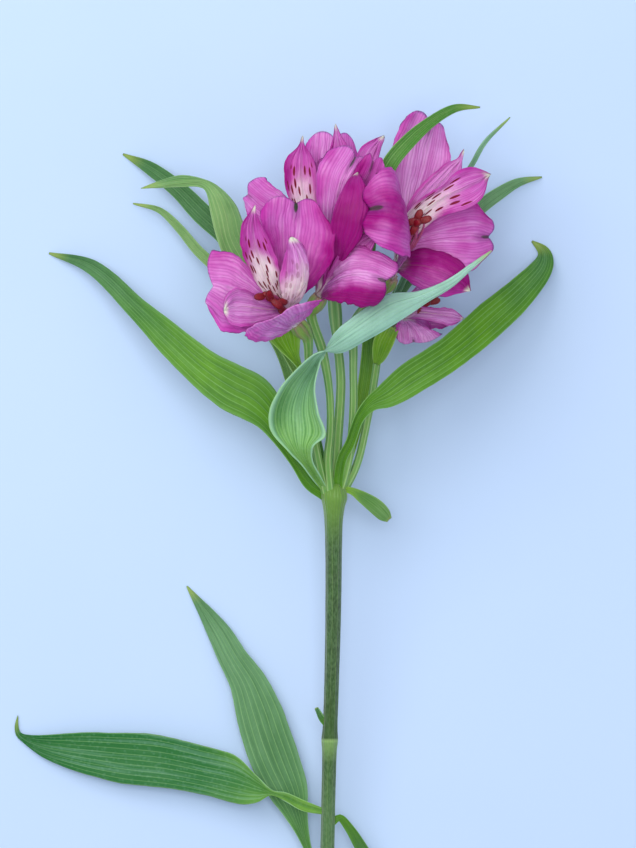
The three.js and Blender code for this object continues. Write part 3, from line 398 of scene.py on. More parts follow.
def catmull_rom(points, per_span):
    """A smooth line through points, with per_span samples to each span; extra columns run along with it."""
    points = np.asarray(points, float)
    padded = np.vstack([2 * points[0] - points[1], points, 2 * points[-1] - points[-2]])
    line = []
    for i in range(1, len(padded) - 2):
        p0, p1, p2, p3 = padded[i - 1:i + 3]
        knots = [max(np.linalg.norm((b - a)[:3]), 1e-6) ** 0.5 for a, b in ((p0, p1), (p1, p2), (p2, p3))]
        m1 = (p1 - p0) / knots[0] - (p2 - p0) / (knots[0] + knots[1]) + (p2 - p1) / knots[1]
        m2 = (p2 - p1) / knots[1] - (p3 - p1) / (knots[1] + knots[2]) + (p3 - p2) / knots[2]
        m1, m2 = m1 * knots[1], m2 * knots[1]
        for t in np.linspace(0, 1, per_span, endpoint=False):
            line.append((2 * t**3 - 3 * t**2 + 1) * p1 + (t**3 - 2 * t**2 + t) * m1
                        + (3 * t**2 - 2 * t**3) * p2 + (t**3 - t**2) * m2)
    return np.array(line + [points[-1]])


def directions(line):
    """Unit tangents of a line of points."""
    return unit(np.gradient(line, axis=0))


def square_to(vectors, along):
    """Vectors made square to the directions along."""
    return unit(vectors - (vectors * along).sum(1, keepdims=True) * along)


def line_mesh(name, points, **looks):
    """A chain of edges through points in millimetres that carries what a tree samples along it."""
    mesh = bpy.data.meshes.new(name)
    edges = [(i, i + 1) for i in range(len(points) - 1)]
    mesh.from_pydata(((points + FRAME_SHIFT) * MM).tolist(), edges, [])
    for look, values in looks.items():
        values = np.broadcast_to(np.asarray(values, float), (len(points), *np.shape(values)[1:]))
        attribute = mesh.attributes.new(look, LINE_LOOKS[look], "POINT")
        field = "vector" if values.ndim == 2 else "value"
        attribute.data.foreach_set(field, values.astype(np.float32).ravel())
    return mesh


def length_of(line):
    return float(np.linalg.norm(np.diff(line, axis=0), axis=1).sum())


def stalk(name, stations, material, columns, rows, ribs=0, rib_height=0.0, rib=0.0, unevenness=0.0, seed=0.0):
    """A round stalk through stations of x, y, z and radius; rib is how strong the ribs are along it."""
    line = catmull_rom(stations, SPAN_STEPS)
    along = directions(line[:, :3])
    face = [square_to(UP[None] + LEAN, along[:1])[0]]
    for direction in along[1:]:
        face.append(square_to(face[-1][None], direction[None])[0])
    share = np.linspace(0, 1, len(line))
    rib_share = np.interp(share, np.linspace(0, 1, np.size(rib)), np.atleast_1d(rib))
    start = line_mesh(name, line[:, :3], face=np.array(face), radius=line[:, 3] * MM, rib=rib_share)
    return grown(STALK, name, start, Columns=columns, Rows=rows, Ribs=float(ribs), Rib_Height=rib_height * MM,
                 Unevenness=unevenness * MM, Seed=float(seed), Material=material)


# ---- Finishes: effects that several materials share ----

def lie_of(tree):
    """Across (-1 to 1) and along (0 to 1) of a blade or round a stalk, from its UV map."""
    lie = wire(add(tree, "ShaderNodeUVMap", {"uv_map": "lie"}), "UV")
    parts = add(tree, "ShaderNodeSeparateXYZ", Vector=lie)
    return wire(parts, "X") * 2.0 - 1.0, wire(parts, "Y")


def place_of(tree):
    return wire(add(tree, "ShaderNodeTexCoord"), "Object")


def effect_tree(name, sizes, result):
    """A shader node group with plain numbers for its sizes and one result."""
    return open_tree(name, "ShaderNodeTree", dict.fromkeys(sizes, FLOAT), {result: FLOAT})


def effect_of(output, result):
    """The finished group, with the result linked to its only output."""
    plug(result.tree, output.inputs[0], result)
    return result.tree


def veins_group():
    """Fine lines that run the length of a blade and spread as it widens."""
    tree, size, output = effect_tree("parallel_veins", ("Count", "Wander", "Sharpness"), "Lines")
    across, along = lie_of(tree)
    drift = noise_at(tree, point(tree, across * 2.0, along * 3.0), 1.5) * size["Wander"]
    wave = ((across * size["Count"] + drift) * math.pi).cos() * 0.5 + 0.5
    return effect_of(output, wave ** size["Sharpness"])


def mottle_group():
    """Soft patches of lighter and darker tissue."""
    tree, size, output = effect_tree("mottle", ("Scale", "Detail", "Stretch"), "Patches")
    parts = add(tree, "ShaderNodeSeparateXYZ", Vector=place_of(tree))
    spot = point(tree, wire(parts, "X"), wire(parts, "Y") * size["Stretch"], wire(parts, "Z"))
    noise = add(tree, "ShaderNodeTexNoise", Vector=spot, Scale=size["Scale"], Detail=size["Detail"])
    return effect_of(output, wire(noise, "Fac").eased(0.3, 0.7))


def cells_group():
    """The fine pebbling of the skin's cells, as a height."""
    tree, size, output = effect_tree("skin_cells", ("Scale",), "Height")
    cells = add(tree, "ShaderNodeTexVoronoi", {"feature": "SMOOTH_F1"}, Vector=place_of(tree),
                Scale=size["Scale"], Smoothness=0.6)
    return effect_of(output, wire(cells, "Distance").less_from(1.0))


def dashes_group():
    """Short dark dashes in rows along the veins, inside a zone of the blade."""
    tree, size, output = effect_tree("nectar_dashes", ("Rows", "Spacing", "Low", "High", "Breadth", "Dash"),
                                     "Dashes")
    across, along = lie_of(tree)
    spot = point(tree, across * size["Rows"], along * size["Spacing"])
    cells = add(tree, "ShaderNodeTexVoronoi", {"voronoi_dimensions": "2D"}, Vector=spot, Scale=1.0,
                Randomness=0.75)
    near = wire(cells, "Distance").eased(size["Dash"], size["Dash"] * 0.75)
    pick = add(tree, "ShaderNodeSeparateColor", Color=wire(cells, "Color"))
    chosen = wire(pick, "Red").above(0.25)
    soft = 0.02
    inside = along.eased(size["Low"] - soft, size["Low"] + soft)
    inside = inside * along.eased(size["High"] + soft, size["High"] - soft)
    inside = inside * abs(across).eased(size["Breadth"] + 0.05, size["Breadth"])
    return effect_of(output, near * chosen * inside)


def streaks_group():
    """Soft lengthwise streaks, from 0 to 1, of uneven breadth and length."""
    tree, size, output = effect_tree("streaks", ("Count", "Length"), "Streaks")
    across, along = lie_of(tree)
    shift = add(tree, "ShaderNodeTexNoise", Vector=place_of(tree), Scale=25.0, Detail=1.0)
    spot = point(tree, across * size["Count"] * 0.5, along * size["Length"], wire(shift, "Fac") * 2.5)
    noise = add(tree, "ShaderNodeTexNoise", Vector=spot, Scale=1.0, Detail=3.0)
    return effect_of(output, wire(noise, "Fac").eased(0.25, 0.75))


VEINS = veins_group()
STREAKS = streaks_group()
MOTTLE = mottle_group()
CELLS = cells_group()
DASHES = dashes_group()


class Finish:
    """A material around one Principled shader, built up colour over colour."""

    def __init__(self, name, base, roughness, **plain):
        self.material = bpy.data.materials.new(name)
        self.material.use_nodes = True
        self.tree = self.material.node_tree
        self.shader = self.tree.nodes["Principled BSDF"]
        self.across, self.along = lie_of(self.tree)
        self.tint = colour(base)
        self.shader.inputs["Roughness"].default_value = roughness
        for label, value in plain.items():
            self.shader.inputs[label.replace("_", " ")].default_value = value

    @property
    def outer(self):
        """0 on the midrib, 1 at the margins."""
        return abs(self.across)

    def effect(self, group, **inputs):
        """One of the shared effects with its own values."""
        node = add(self.tree, "ShaderNodeGroup", {"node_tree": group}, **inputs)
        return wire(node, node.outputs[0].name)

    def veins(self, count, wander, sharpness):
        return self.effect(VEINS, Count=count, Wander=wander, Sharpness=sharpness)

    def streaks(self, count, length):
        return self.effect(STREAKS, Count=count, Length=length)

    def mottle(self, scale, detail, stretch=1.0):
        return self.effect(MOTTLE, Scale=scale, Detail=detail, Stretch=stretch)

    def cells(self, scale):
        return self.effect(CELLS, Scale=scale)

    def look(self, name):
        """What the blade says of its colour: deep, pale, claw, marks, or under on the lower side; on some
        tepals deep and pale carry painted shade and painted light.
        """
        return wire(add(self.tree, "ShaderNodeAttribute", {"attribute_name": name}), "Fac")

    def lay(self, mask, over):
        """Mixes the colour over into the tint where the mask is 1."""
        node = add(self.tree, "ShaderNodeMix", {"data_type": "RGBA"})
        # The colour sockets share their names with sockets of the other data types, so they go by number.
        plug(self.tree, node.inputs["Factor"], mask)
        plug(self.tree, node.inputs[6], self.tint)
        plug(self.tree, node.inputs[7], colour(over))
        self.tint = Wire(self.tree, node.outputs[2])

    def bump(self, height, distance, strength=1.0):
        """Raises the surface by a height; several bumps add up."""
        before = self.shader.inputs["Normal"].links
        node = add(self.tree, "ShaderNodeBump", Height=height, Distance=distance, Strength=strength)
        if before:
            plug(self.tree, node.inputs["Normal"], Wire(self.tree, before[0].from_socket))
        plug(self.tree, self.shader.inputs["Normal"], wire(node, "Normal"))

    def rough(self, roughness):
        plug(self.tree, self.shader.inputs["Roughness"], roughness)

    def done(self):
        plug(self.tree, self.shader.inputs["Base Color"], self.tint)
        return self.material


# ---- Finishes of the leaves, the stem and the flowers ----

LEAF_SCATTER = (0.4, 1.0, 0.2)
TEPAL_SCATTER = (1.0, 0.3, 0.8)
DRY_TIP = "#a9bf5c"


def leaf_finish(name, body, deep, pale, base, vein, veins):
    """Parallel-veined leaf skin; the base is the brighter tissue near the stalk."""
    skin = Finish(name, body, 0.45, Subsurface_Weight=0.08, Subsurface_Scale=0.0012, Specular_IOR_Level=0.28)
    skin.shader.inputs["Subsurface Radius"].default_value = LEAF_SCATTER
    along, outer = skin.along, skin.outer
    patches = skin.mottle(110.0, 6.0, 0.5)
    lines = skin.veins(veins, 0.25, 22.0)
    fine = skin.veins(veins * 4.5, 0.8, 2.0)
    furrows = skin.veins(veins * 1.6, 0.5, 1.2)
    streaks = skin.streaks(10.0, 1.6)
    quilt = skin.cells(650.0)
    paleness, depth = skin.look("pale"), skin.look("deep")
    skin.lay(depth, deep)
    skin.lay(paleness * (along.eased(0.48, 0.82) * 0.4 + along.eased(0.0, 0.25) * 0.6), pale)
    near_stalk = (skin.look("claw") - along + outer * 0.1).eased(-0.22, 0.22)
    skin.lay(near_stalk * 0.85, base)
    skin.lay(patches * 0.3, deep)
    skin.lay(streaks.eased(0.55, 0.9) * 0.1, pale)
    skin.lay(streaks.eased(0.45, 0.1) * 0.35, deep)
    skin.lay(fine * 0.2, deep)
    skin.lay(furrows * paleness * along.eased(0.46, 0.28) * 0.4, deep)
    skin.lay(quilt.eased(0.5, 0.9) * 0.05, pale)
    skin.lay(lines * (depth * -0.2 + 0.42), vein)
    skin.lay(paleness * outer.eased(0.8, 0.95) * 0.5, pale)
    skin.lay(outer.eased(0.94, 1.0) * 0.5, vein)
    skin.lay(skin.look("under") * 0.25, pale)
    skin.lay(along.eased(0.93, 0.99) * 0.6, DRY_TIP)
    skin.rough((fine * 0.1 + 0.42) + patches * 0.08)
    skin.bump(lines * 0.2 + fine * 0.3, 0.00014)
    skin.bump(quilt, 0.0001, 0.4)
    skin.bump(skin.cells(2600.0), 0.00005, 0.4)
    return skin.done()


def stem_finish():
    """Dark mottled green with fine ribs, a pale ring at the lower node and paler tissue under the whorl."""
    skin = Finish("stem_skin", "#305a22", 0.45, Subsurface_Weight=0.06, Subsurface_Scale=0.001,
                  Specular_IOR_Level=0.3, Sheen_Weight=0.3, Sheen_Roughness=0.45)
    y = wire(add(skin.tree, "ShaderNodeSeparateXYZ", Vector=place_of(skin.tree)), "Y")
    lines = skin.veins(9.0, 0.6, 8.0)
    fine = skin.veins(26.0, 1.2, 1.5)
    patches = skin.mottle(420.0, 6.0, 0.35)
    middle = y.eased(-0.058, -0.05) * y.eased(0.028, 0.004)
    skin.lay(skin.streaks(14.0, 14.0).eased(0.35, 0.75) * 0.35, "#23431d")
    skin.lay((patches * 0.8 + 0.2) * middle, "#1f3d16")
    skin.lay(patches * 0.5, "#1f3f18")
    skin.lay(y.eased(-0.072, -0.095) * 0.4, "#5f8a56")
    skin.lay(skin.mottle(1500.0, 3.0, 0.4) * 0.28, "#86a878")
    skin.lay(fine * 0.14, "#5c8244")
    skin.lay(lines * 0.22, "#7fa458")
    skin.lay(y.eased(0.008, 0.030) * 0.8, "#6f9a3c")
    over_node = y - LOWER_NODE * MM
    dark_side = over_node.eased(0.024, 0.004) * over_node.eased(-0.0006, 0.0006)
    pale_side = over_node.eased(-0.010, -0.001) * over_node.eased(0.0006, -0.0006)
    skin.lay(dark_side * (patches * 0.4 + 0.4), "#2f5210")
    skin.lay(pale_side * 0.6, "#8ab266")
    skin.lay(abs(over_node).eased(0.0011, 0.0002) * 0.55, "#97bb70")
    skin.rough(fine * 0.12 + 0.36)
    skin.bump(fine + lines, 0.00012)
    skin.bump(skin.cells(2400.0), 0.00005, 0.4)
    return skin.done()


def ovary_finish():
    """Pedicel green that turns olive and reddish brown on the ribs of the ovary."""
    skin = Finish("ovary_skin", "#7db04e", 0.42, Subsurface_Weight=0.12, Subsurface_Scale=0.002)
    lines = skin.veins(6.0, 0.1, 2.0)
    fine = skin.veins(20.0, 0.8, 1.5)
    ovary = skin.along.eased(0.84, 0.92)
    skin.lay(skin.mottle(220.0, 4.0, 0.5) * 0.4, "#4f9440")
    skin.lay(skin.mottle(34.0, 1.0, 0.3) * 0.5, "#4d8558")
    # Pale lines on the ribs: partly paler rib tissue, partly a painted highlight.
    skin.lay(lines * 0.42, "#c6dfa0")
    skin.lay(fine * 0.2, "#4a7a34")
    skin.lay(ovary * 0.5, "#8ca545")
    skin.lay(ovary * lines * 0.6, "#6e4a4a")
    skin.lay(skin.along.eased(0.965, 1.0) * 0.7, "#b8787f")
    skin.bump(fine * 0.5 + lines, 0.00012)
    skin.bump(skin.cells(2400.0), 0.00005, 0.4)
    return skin.done()


def tepal_finish(name, outer_whorl):
    """Satin tepal skin; an outer tepal has a dark notch spot, an inner one nectar dashes and a pale tip."""
    skin = Finish(name, "#d264ba", 0.5, Subsurface_Weight=0.15, Subsurface_Scale=0.0015,
                  Specular_IOR_Level=0.15)
    skin.shader.inputs["Subsurface Radius"].default_value = TEPAL_SCATTER
    along, outer = skin.along, skin.outer
    deep, end, marks = skin.look("deep"), skin.look("claw"), skin.look("marks")
    patches = skin.mottle(95.0, 5.0)
    streaks = skin.streaks(15.0, 1.6)
    fine = skin.veins(22.0, 3.0, 2.5)
    lines = skin.veins(10.0, 1.5, 6.0)
    uneven = patches - 0.5
    # Paleness; on some tepals partly painted light.
    skin.lay(skin.look("pale") * outer.eased(1.4, 0.3), "#e09ad8")
    skin.lay(skin.mottle(48.0, 2.0) * 0.35, "#b05cba")
    skin.lay(streaks.eased(0.5, 0.95) * 0.3, "#f0c0e8")
    skin.lay(streaks.eased(0.5, 0.1) * 0.3, "#b92aa0")
    skin.lay((outer + uneven * 0.2).eased(0.72, 1.0) * 0.5, "#bd1f9e")
    # Deep magenta, and plum where deepest; on some tepals partly painted shade.
    skin.lay((deep + uneven * 0.5).kept(), "#b0088c")
    skin.lay((deep * 1.6 - 0.9 + uneven * 0.4).kept() * 0.75, "#7e0558")
    skin.lay(fine * 0.3, "#8f2484")
    white_edge = along + outer ** 2.0 * 0.22 + uneven * 0.08
    skin.lay((end - white_edge).eased(-0.14, 0.14), "#f4dfe3")
    skin.lay(along.eased(0.14, 0.02) * 0.45, "#c9d09a")
    skin.lay(lines * along.eased(0.85, 0.1) * 0.35, "#9a3a78")
    skin.lay(lines * skin.look("under") * along.eased(0.6, 0.1) * 0.6, "#7c4257")
    if outer_whorl:
        from_notch = (outer * 9.0) ** 2.0 + ((along - 0.965) * 14.0) ** 2.0 + uneven * 0.5
        skin.lay(from_notch.eased(3.5, 0.2) * marks * 0.6, "#7a2a78")
        skin.lay(from_notch.eased(0.55, 0.15) * marks, "#2e3628")
        skin.lay(outer.eased(0.05, 0.0) * along.eased(1.0, 0.3) * 0.25, "#8f1472")
    else:
        dashes = skin.effect(DASHES, Rows=4.6, Spacing=8.5, Low=0.14, High=end + 0.12, Breadth=0.8, Dash=0.33)
        skin.lay(dashes * marks, "#780a2c")
        rib = outer.eased(0.07, 0.0) * along.eased(0.95, 0.45)
        skin.lay(rib * deep.less_from(1.0).kept() * 0.45, "#dcc8b0")
        skin.lay(along.eased(0.93, 0.985) * outer.eased(1.0, 0.5) * 0.9, "#e6ead0")
    skin.rough(fine * 0.1 + 0.44)
    skin.bump(lines * 0.4 + fine * 0.5, 0.00016)
    skin.bump(skin.cells(3200.0), 0.00004, 0.4)
    return skin.done()


def anther_finish():
    skin = Finish("anther_skin", "#8c0a1c", 0.4, Subsurface_Weight=0.1, Subsurface_Scale=0.001)
    skin.lay(skin.mottle(500.0, 3.0) * 0.5, "#640510")
    skin.lay(skin.veins(2.0, 0.2, 12.0) * 0.7, "#2c0610")
    skin.bump(skin.cells(5000.0), 0.0001)
    return skin.done()


def filament_finish():
    skin = Finish("filament_skin", "#c9608f", 0.45, Subsurface_Weight=0.2, Subsurface_Scale=0.001)
    skin.lay(skin.along.eased(0.35, 0.0), "#e6d6c2")
    skin.lay(skin.mottle(400.0, 2.0) * 0.4, "#a52f62")
    return skin.done()


def pollen_finish():
    skin = Finish("pollen_grains", "#950c1c", 0.6)
    skin.lay(skin.mottle(900.0, 1.0), "#74060f")
    return skin.done()


# Each leaf colour: body, deep, pale, bright base and vein, and how many veins run along it.
LEAF_COLOURS = {
    "green_leaf": ("#3f7734", "#1f5c22", "#84b488", "#639e08", "#95c47a", 8.0),
    "blue_green_leaf": ("#78ad7c", "#0e6622", "#b6e6d6", "#92c84a", "#a9d890", 10.0),
    "young_leaf": ("#679a3e", "#2b7426", "#a6ca92", "#8fc018", "#b8d488", 7.0),
}
LEAF_FINISH = {name: leaf_finish(name, *colours) for name, colours in LEAF_COLOURS.items()}
OUTER_SKIN = tepal_finish("outer_tepal_skin", True)
INNER_SKIN = tepal_finish("inner_tepal_skin", False)
STEM_SKIN = stem_finish()
OVARY_SKIN = ovary_finish()
ANTHER_SKIN = anther_finish()
FILAMENT_SKIN = filament_finish()
POLLEN_SKIN = pollen_finish()


# ---- Leaves: stations are x, y, z, half width, roll and cup, from the stem to the tip ----

def tip(x, y, z):
    """A row at which both margins meet the midrib."""
    return [[x, y, z]] * 3


LEAVES = {
    "leaf_whorl_long_left": ("green_leaf", [
        [-3, 0.8, 32, 3.2, 0, 50], [-8.7, 4.9, 33.5, 3.3, 0, 60], [-14.9, 13.9, 35, 2.6, 0, 50],
        [-23.6, 30, 37, 6.4, 0, 20], [-30.5, 37, 38, 8.9, 0, 12], [-39, 41.6, 38, 9, 0, 8],
        [-49.6, 48.6, 36, 7.4, 0, 8], [-64, 61.3, 30, 5.8, 0, 8], [-75.3, 71.9, 22, 4.2, 0, 10],
        [-93, 88, 10, 2.9, 0, 10], [-110, 93.6, 0.4, 0.4, 0, 0]]),
    "leaf_whorl_long_right": ("green_leaf", [
        [1.5, 1, 33, 2.2, 0, 60], [3.4, 13.9, 38, 2.2, 0, 60], [6.5, 20, 40, 2.2, 0, 60],
        [10, 29.6, 44, 2.4, 0, 60], [14.5, 35, 46, 3.2, 0, 45], [21, 38.6, 46, 5.2, 0, 25],
        [29.4, 44.5, 45, 6.4, 0, 15], [44.7, 54.4, 41, 6.5, 0, 12], [60.5, 67.6, 32, 6.9, 0, 10],
        [73.1, 78.9, 20, 5.8, 0, 10], [81.4, 89, 8, 4, 0, 10], [81.6, 94.2, 2.6, 2.4, 0, 5],
        [77.2, 98.3, 0.4, 0.4, 0, 0]]),
    "leaf_whorl_small_right": ("young_leaf", [
        [2.6, 2.6, 32.5, 1.1, 0, 30], [6.9, 1.9, 32.4, 1.4, 0, 30], [11.6, -0.8, 30.6, 2.5, 0, 25],
        [16.7, -4.5, 27.4, 3.1, 0, 20], [19.9, -7.6, 24.4, 2.6, 0, 15], [21.7, -9.4, 22.6, 1.2, 0, 5]]),
    "leaf_upper_right_arching": ("young_leaf", [
        [2.6, 1.8, 29, 1.6, 0, 40], [10.8, 34.7, 22, 2.6, 0, 30], [13.9, 57.8, 20, 2.8, 0, 25],
        [13.6, 76.4, 30, 3, 0, 25], [13.6, 97.1, 46, 3, 0, 25], [16.8, 113.8, 56, 3.2, 0, 30],
        [21.6, 126, 62, 3.3, 0, 30], [28.3, 134.1, 61, 3, 0, 30], [36.7, 141.6, 57, 2.2, 0, 20],
        [46.4, 147.3, 52, 1.6, 0, 15], [56, 147.9, 47, 0.3, 0, 0]]),
    "leaf_upper_right_narrow": ("blue_green_leaf", [
        [1.6, 0.8, 27.5, 1, 0, 20], [12.2, 36.1, 21, 1.2, 0, 20], [24.4, 76.7, 16, 1.2, 0, 20],
        [38.5, 103.9, 20, 1.2, 0, 20], [53, 126.3, 26, 0.9, 0, 20], [58.4, 135.5, 27, 0.8, 0, 10],
        [68.1, 145.2, 24, 0.25, 0, 0]]),
    "leaf_upper_right_low": ("green_leaf", [
        [2.1, 0.2, 26.5, 1.4, 0, 30], [10.7, 34.1, 17, 2, 0, 20], [14.5, 56.4, 12, 2.3, 0, 20],
        [27.5, 80.9, 8, 2.4, 0, 20], [42.8, 97.2, 8, 2.6, 0, 20], [58, 111.9, 9, 2.8, 0, 20],
        [63.4, 115.9, 9, 2.6, 0, 20], [71.3, 120.6, 6.5, 1.8, 0, 10], [81.1, 123.1, 0.4, 0.3, 0, 0]]),
    "leaf_upper_left_low": ("green_leaf", [
        [-1.5, 1.8, 28, 1.5, 0, 30], [-12.6, 44.2, 26, 2.4, 0, 25], [-26.2, 78.6, 22, 3.2, 0, 20],
        [-39.4, 97.9, 18, 4, 0, 20], [-51.1, 109.2, 14, 4.1, 0, 20], [-59.7, 117.9, 10.5, 3.4, 0, 15],
        [-70.6, 126.3, 5.5, 2.6, 0, 10], [-81.3, 132, 0.4, 0.4, 0, 0]]),
    "leaf_upper_left_thin": ("young_leaf", [
        [-2.2, 0.8, 26.6, 1.2, 0, 20], [-12.6, 29, 21, 1.6, 0, 20], [-20.7, 55.9, 17.5, 1.8, 0, 20],
        [-32.4, 73.6, 15, 2, 0, 20], [-42.5, 85.3, 13, 2.2, 0, 20], [-52.2, 94.5, 11, 2.1, 0, 20],
        [-59.9, 103.7, 9.5, 1.7, 0, 20], [-67, 110, 8, 1.2, 0, 10], [-77.3, 112.7, 5, 0.3, 0, 0]]),
    "leaf_lower_upright": ("green_leaf", [
        [-4, -152.8, 10.6, 1.3, 0, 50], [-10, -135.6, 9, 1.8, 0, 50], [-13.8, -124, 7.6, 4.6, 0, 30],
        [-16.8, -115.2, 6.8, 7.6, 0, 15], [-21.6, -104.1, 5.8, 9.3, 0, 10], [-25, -95.1, 5.4, 9.5, 0, 8],
        [-28.9, -83, 5, 8.9, 0, 8], [-32.8, -72.8, 4.6, 7.1, 0, 8], [-38.6, -63.2, 3.8, 5.7, 0, 8],
        [-44.4, -52.8, 2.8, 4.4, 0, 8], [-56.5, -35.4, 0.4, 0.3, 0, 0]]),
    "leaf_lower_right": ("green_leaf", [
        [-0.4, -126.7, 14.4, 1.2, 0, 30], [2.5, -124.3, 14.6, 1.4, 0, 20], [6.2, -128.3, 12.6, 1.8, 0, 20],
        [11.3, -136.7, 8.4, 2.4, 0, 20], [19.5, -150.3, 2.5, 2.2, 0, 10], [24.6, -158.6, 0.4, 0.4, 0, 0]]),
    "bracteole_right": ("young_leaf", [
        [16.6, 50.4, 31.6, 1.2, 0, 60], [17.6, 53.2, 33.4, 3, 0, 60], [19.3, 58.7, 36.4, 4.6, 0, 60],
        [22.3, 64.7, 38.5, 3.6, 0, 40]]),
}

# Broad or folded leaves have stations of three points: left margin, midrib and right margin.
BROAD_LEAVES = {
    "leaf_whorl_cupped_front": ("blue_green_leaf", [
        [[-3.4, 0.6, 32], [-2.3, 0.6, 33], [-1.1, 0.6, 32]],
        [[-7.6, 6, 41], [-6.1, 6, 39], [-4.2, 6.8, 41]],
        [[-12.2, 12.2, 49], [-10.3, 12.5, 46], [-7.6, 13.7, 48]],
        [[-16.7, 16.7, 54], [-12.5, 17.9, 50], [-7.2, 19, 54]],
        [[-23.1, 24, 58], [-12.9, 25.1, 51], [-2.7, 23.2, 58]],
        [[-24, 32.3, 61], [-13.3, 33.4, 51], [-5.7, 31.9, 61]],
        [[-19.7, 41.7, 63], [-11.4, 41, 53], [-6.8, 39.8, 62]],
        [[-12.5, 49.6, 64.5], [-7.6, 48.2, 57], [-5.5, 47, 62]],
        [[-4.9, 54.7, 65], [-4.2, 54.2, 63], [-3.4, 53.5, 61]],
        [[2.6, 54.2, 63], [1.1, 57.2, 66], [-0.4, 60.6, 67]],
        [[12.4, 58.9, 66], [9.8, 62.8, 70], [6.7, 67.3, 69]],
        [[24.1, 65.7, 68], [21.8, 70.7, 72], [19.9, 76, 70]],
        [[34.3, 72.6, 70], [33.1, 75.2, 72.2], [32.3, 77.6, 72]],
        [[44.8, 79.3, 72], [44.4, 80.8, 73.2], [43.6, 82, 73]],
        [[53.4, 86.9, 72], [52.9, 87.4, 72.8], [52.3, 88, 72.6]],
        tip(59.7, 92.9, 71),
    ]),
    "leaf_upper_left_folded": ("young_leaf", [
        [[-3.4, 1.7, 30.5], [-2.6, 1.7, 30.5], [-1.9, 2.1, 30.5]],
        [[-13.7, 43, 36], [-12.2, 43.8, 35], [-10.7, 44.6, 36]],
        [[-28.6, 67.8, 42], [-25.5, 70.1, 41], [-22.1, 72.3, 42]],
        [[-38.5, 84.9, 44], [-33.9, 88.3, 43], [-28.2, 91.4, 44]],
        [[-43.4, 95.2, 44], [-38.9, 97.9, 43], [-32.7, 100.1, 44]],
        [[-46.4, 106.2, 45], [-41.1, 107.7, 45], [-34.6, 105.4, 45]],
        [[-48.3, 115.3, 45], [-43.7, 114.1, 47], [-37.7, 111.9, 46]],
        [[-51.4, 117.7, 43], [-48.7, 119.5, 44.5], [-45.3, 118.7, 45]],
        [[-58.3, 117.8, 40], [-57.2, 120, 41], [-56, 122.3, 41]],
        [[-66.9, 117.6, 34], [-66.1, 118.9, 34.5], [-65.4, 120.7, 34]],
        tip(-73.5, 117.6, 30),
    ]),
    "leaf_lower_broad_left": ("blue_green_leaf", [
        [[-2.6, -123.3, 15], [-2.4, -122.1, 15.4], [-2.6, -121, 15]],
        [[-11.5, -121.6, 17], [-11.3, -119.8, 16], [-10.3, -117.8, 17]],
        [[-18.4, -117.8, 17.2], [-18.8, -116.3, 16.4], [-18, -114.5, 17.2]],
        [[-23.4, -115.6, 15.5], [-23.4, -114.6, 16], [-23.4, -113.6, 16.5]],
        [[-28.8, -118.3, 14.8], [-28.8, -112.6, 14], [-29.2, -108.3, 14.8]],
        [[-35.8, -119.3, 13.4], [-36.6, -109.6, 12.4], [-37.3, -100.6, 13.4]],
        [[-49.3, -115.8, 11.2], [-50.1, -106.6, 10.4], [-51.2, -96.5, 11.2]],
        [[-64.8, -113.2, 9.7], [-65.6, -103.6, 9], [-66.7, -92.7, 9.7]],
        [[-82.2, -111.3, 8.1], [-83.4, -101.7, 7.4], [-84.1, -91.8, 8.1]],
        [[-99.7, -106.8, 6.1], [-100.8, -99.5, 5.6], [-101.6, -92.1, 6.1]],
        [[-112.5, -101.5, 3.6], [-114.1, -96.9, 3.3], [-115.2, -93, 3.6]],
        [[-119.6, -96.2, 1.9], [-120, -94.3, 1.7], [-120, -92.5, 1.9]],
        [[-122.6, -93.3, 1.2], [-121.9, -92.4, 1.2], [-121.2, -91.7, 1.2]],
        [[-123.1, -89.7, 0.8], [-122.5, -89.7, 0.8], [-121.9, -89.7, 0.8]],
        tip(-122, -85.4, 0.4),
    ]),
    "bracteole_left": ("young_leaf", [
        [[-12.5, 47.5, 49.5], [-12, 47.9, 49], [-11.4, 48.3, 49.5]],
        [[-15.9, 51.3, 53], [-14.4, 52.4, 51.5], [-12.7, 53.2, 53]],
        [[-20.5, 55.4, 57], [-16.7, 57, 54], [-12.5, 57.3, 57]],
        [[-24.1, 59.5, 60], [-18.2, 61.1, 57], [-12.5, 61, 60]],
        [[-24.6, 64, 62], [-19.7, 65.6, 59], [-14.4, 65.6, 61]],
        [[-22.7, 68.2, 60], [-20.8, 68.6, 59.5], [-18.6, 68.6, 60]],
    ]),
}

# Left, middle and right depth of colour, paleness, where the bright base ends, marks, and depth at the end.
LEAF_TISSUE = {
    "leaf_whorl_long_left": (0.1, 0.5, 0.7, 0.25, 0.62, 0.0),
    "leaf_whorl_long_right": (0.35, 0.15, 0.0, 0.05, 0.82, 0.0),
    "leaf_whorl_small_right": (0.3, 0.3, 0.3, 0.2, 0.2, 0.0),
    "leaf_whorl_cupped_front": (0.0, 0.1, 0.0, 0.8, 0.27, 0.0),
    "leaf_lower_broad_left": (0.95, 0.85, 1.0, 0.0, 0.14, 0.0),
    "leaf_lower_upright": (0.1, 0.1, 0.05, 0.5, 0.1, 0.0, 0.6),
    "leaf_upper_right_arching": (0.5, 0.45, 0.6, 0.0, 0.2, 0.0),
    "leaf_upper_right_low": (0.1, 0.1, 0.0, 0.7, 0.0, 0.0),
    "leaf_upper_left_folded": (0.0, 0.1, 1.0, 0.45, 0.2, 0.0),
    "leaf_upper_left_thin": (0.0, 0.0, 0.0, 0.5, 0.1, 0.0),
    "leaf_upper_left_low": (0.4, 0.5, 0.3, 0.2, 0.0, 0.0),
    "bracteole_left": (0.1, 0.1, 0.1, 0.2, 0.9, 0.0),
    "bracteole_right": (0.3, 0.2, 0.1, 0.1, 0.9, 0.0),
}
PLAIN_LEAF = (0.2, 0.2, 0.2, 0.2, 0.3, 0.0)   # a leaf that isn't named above
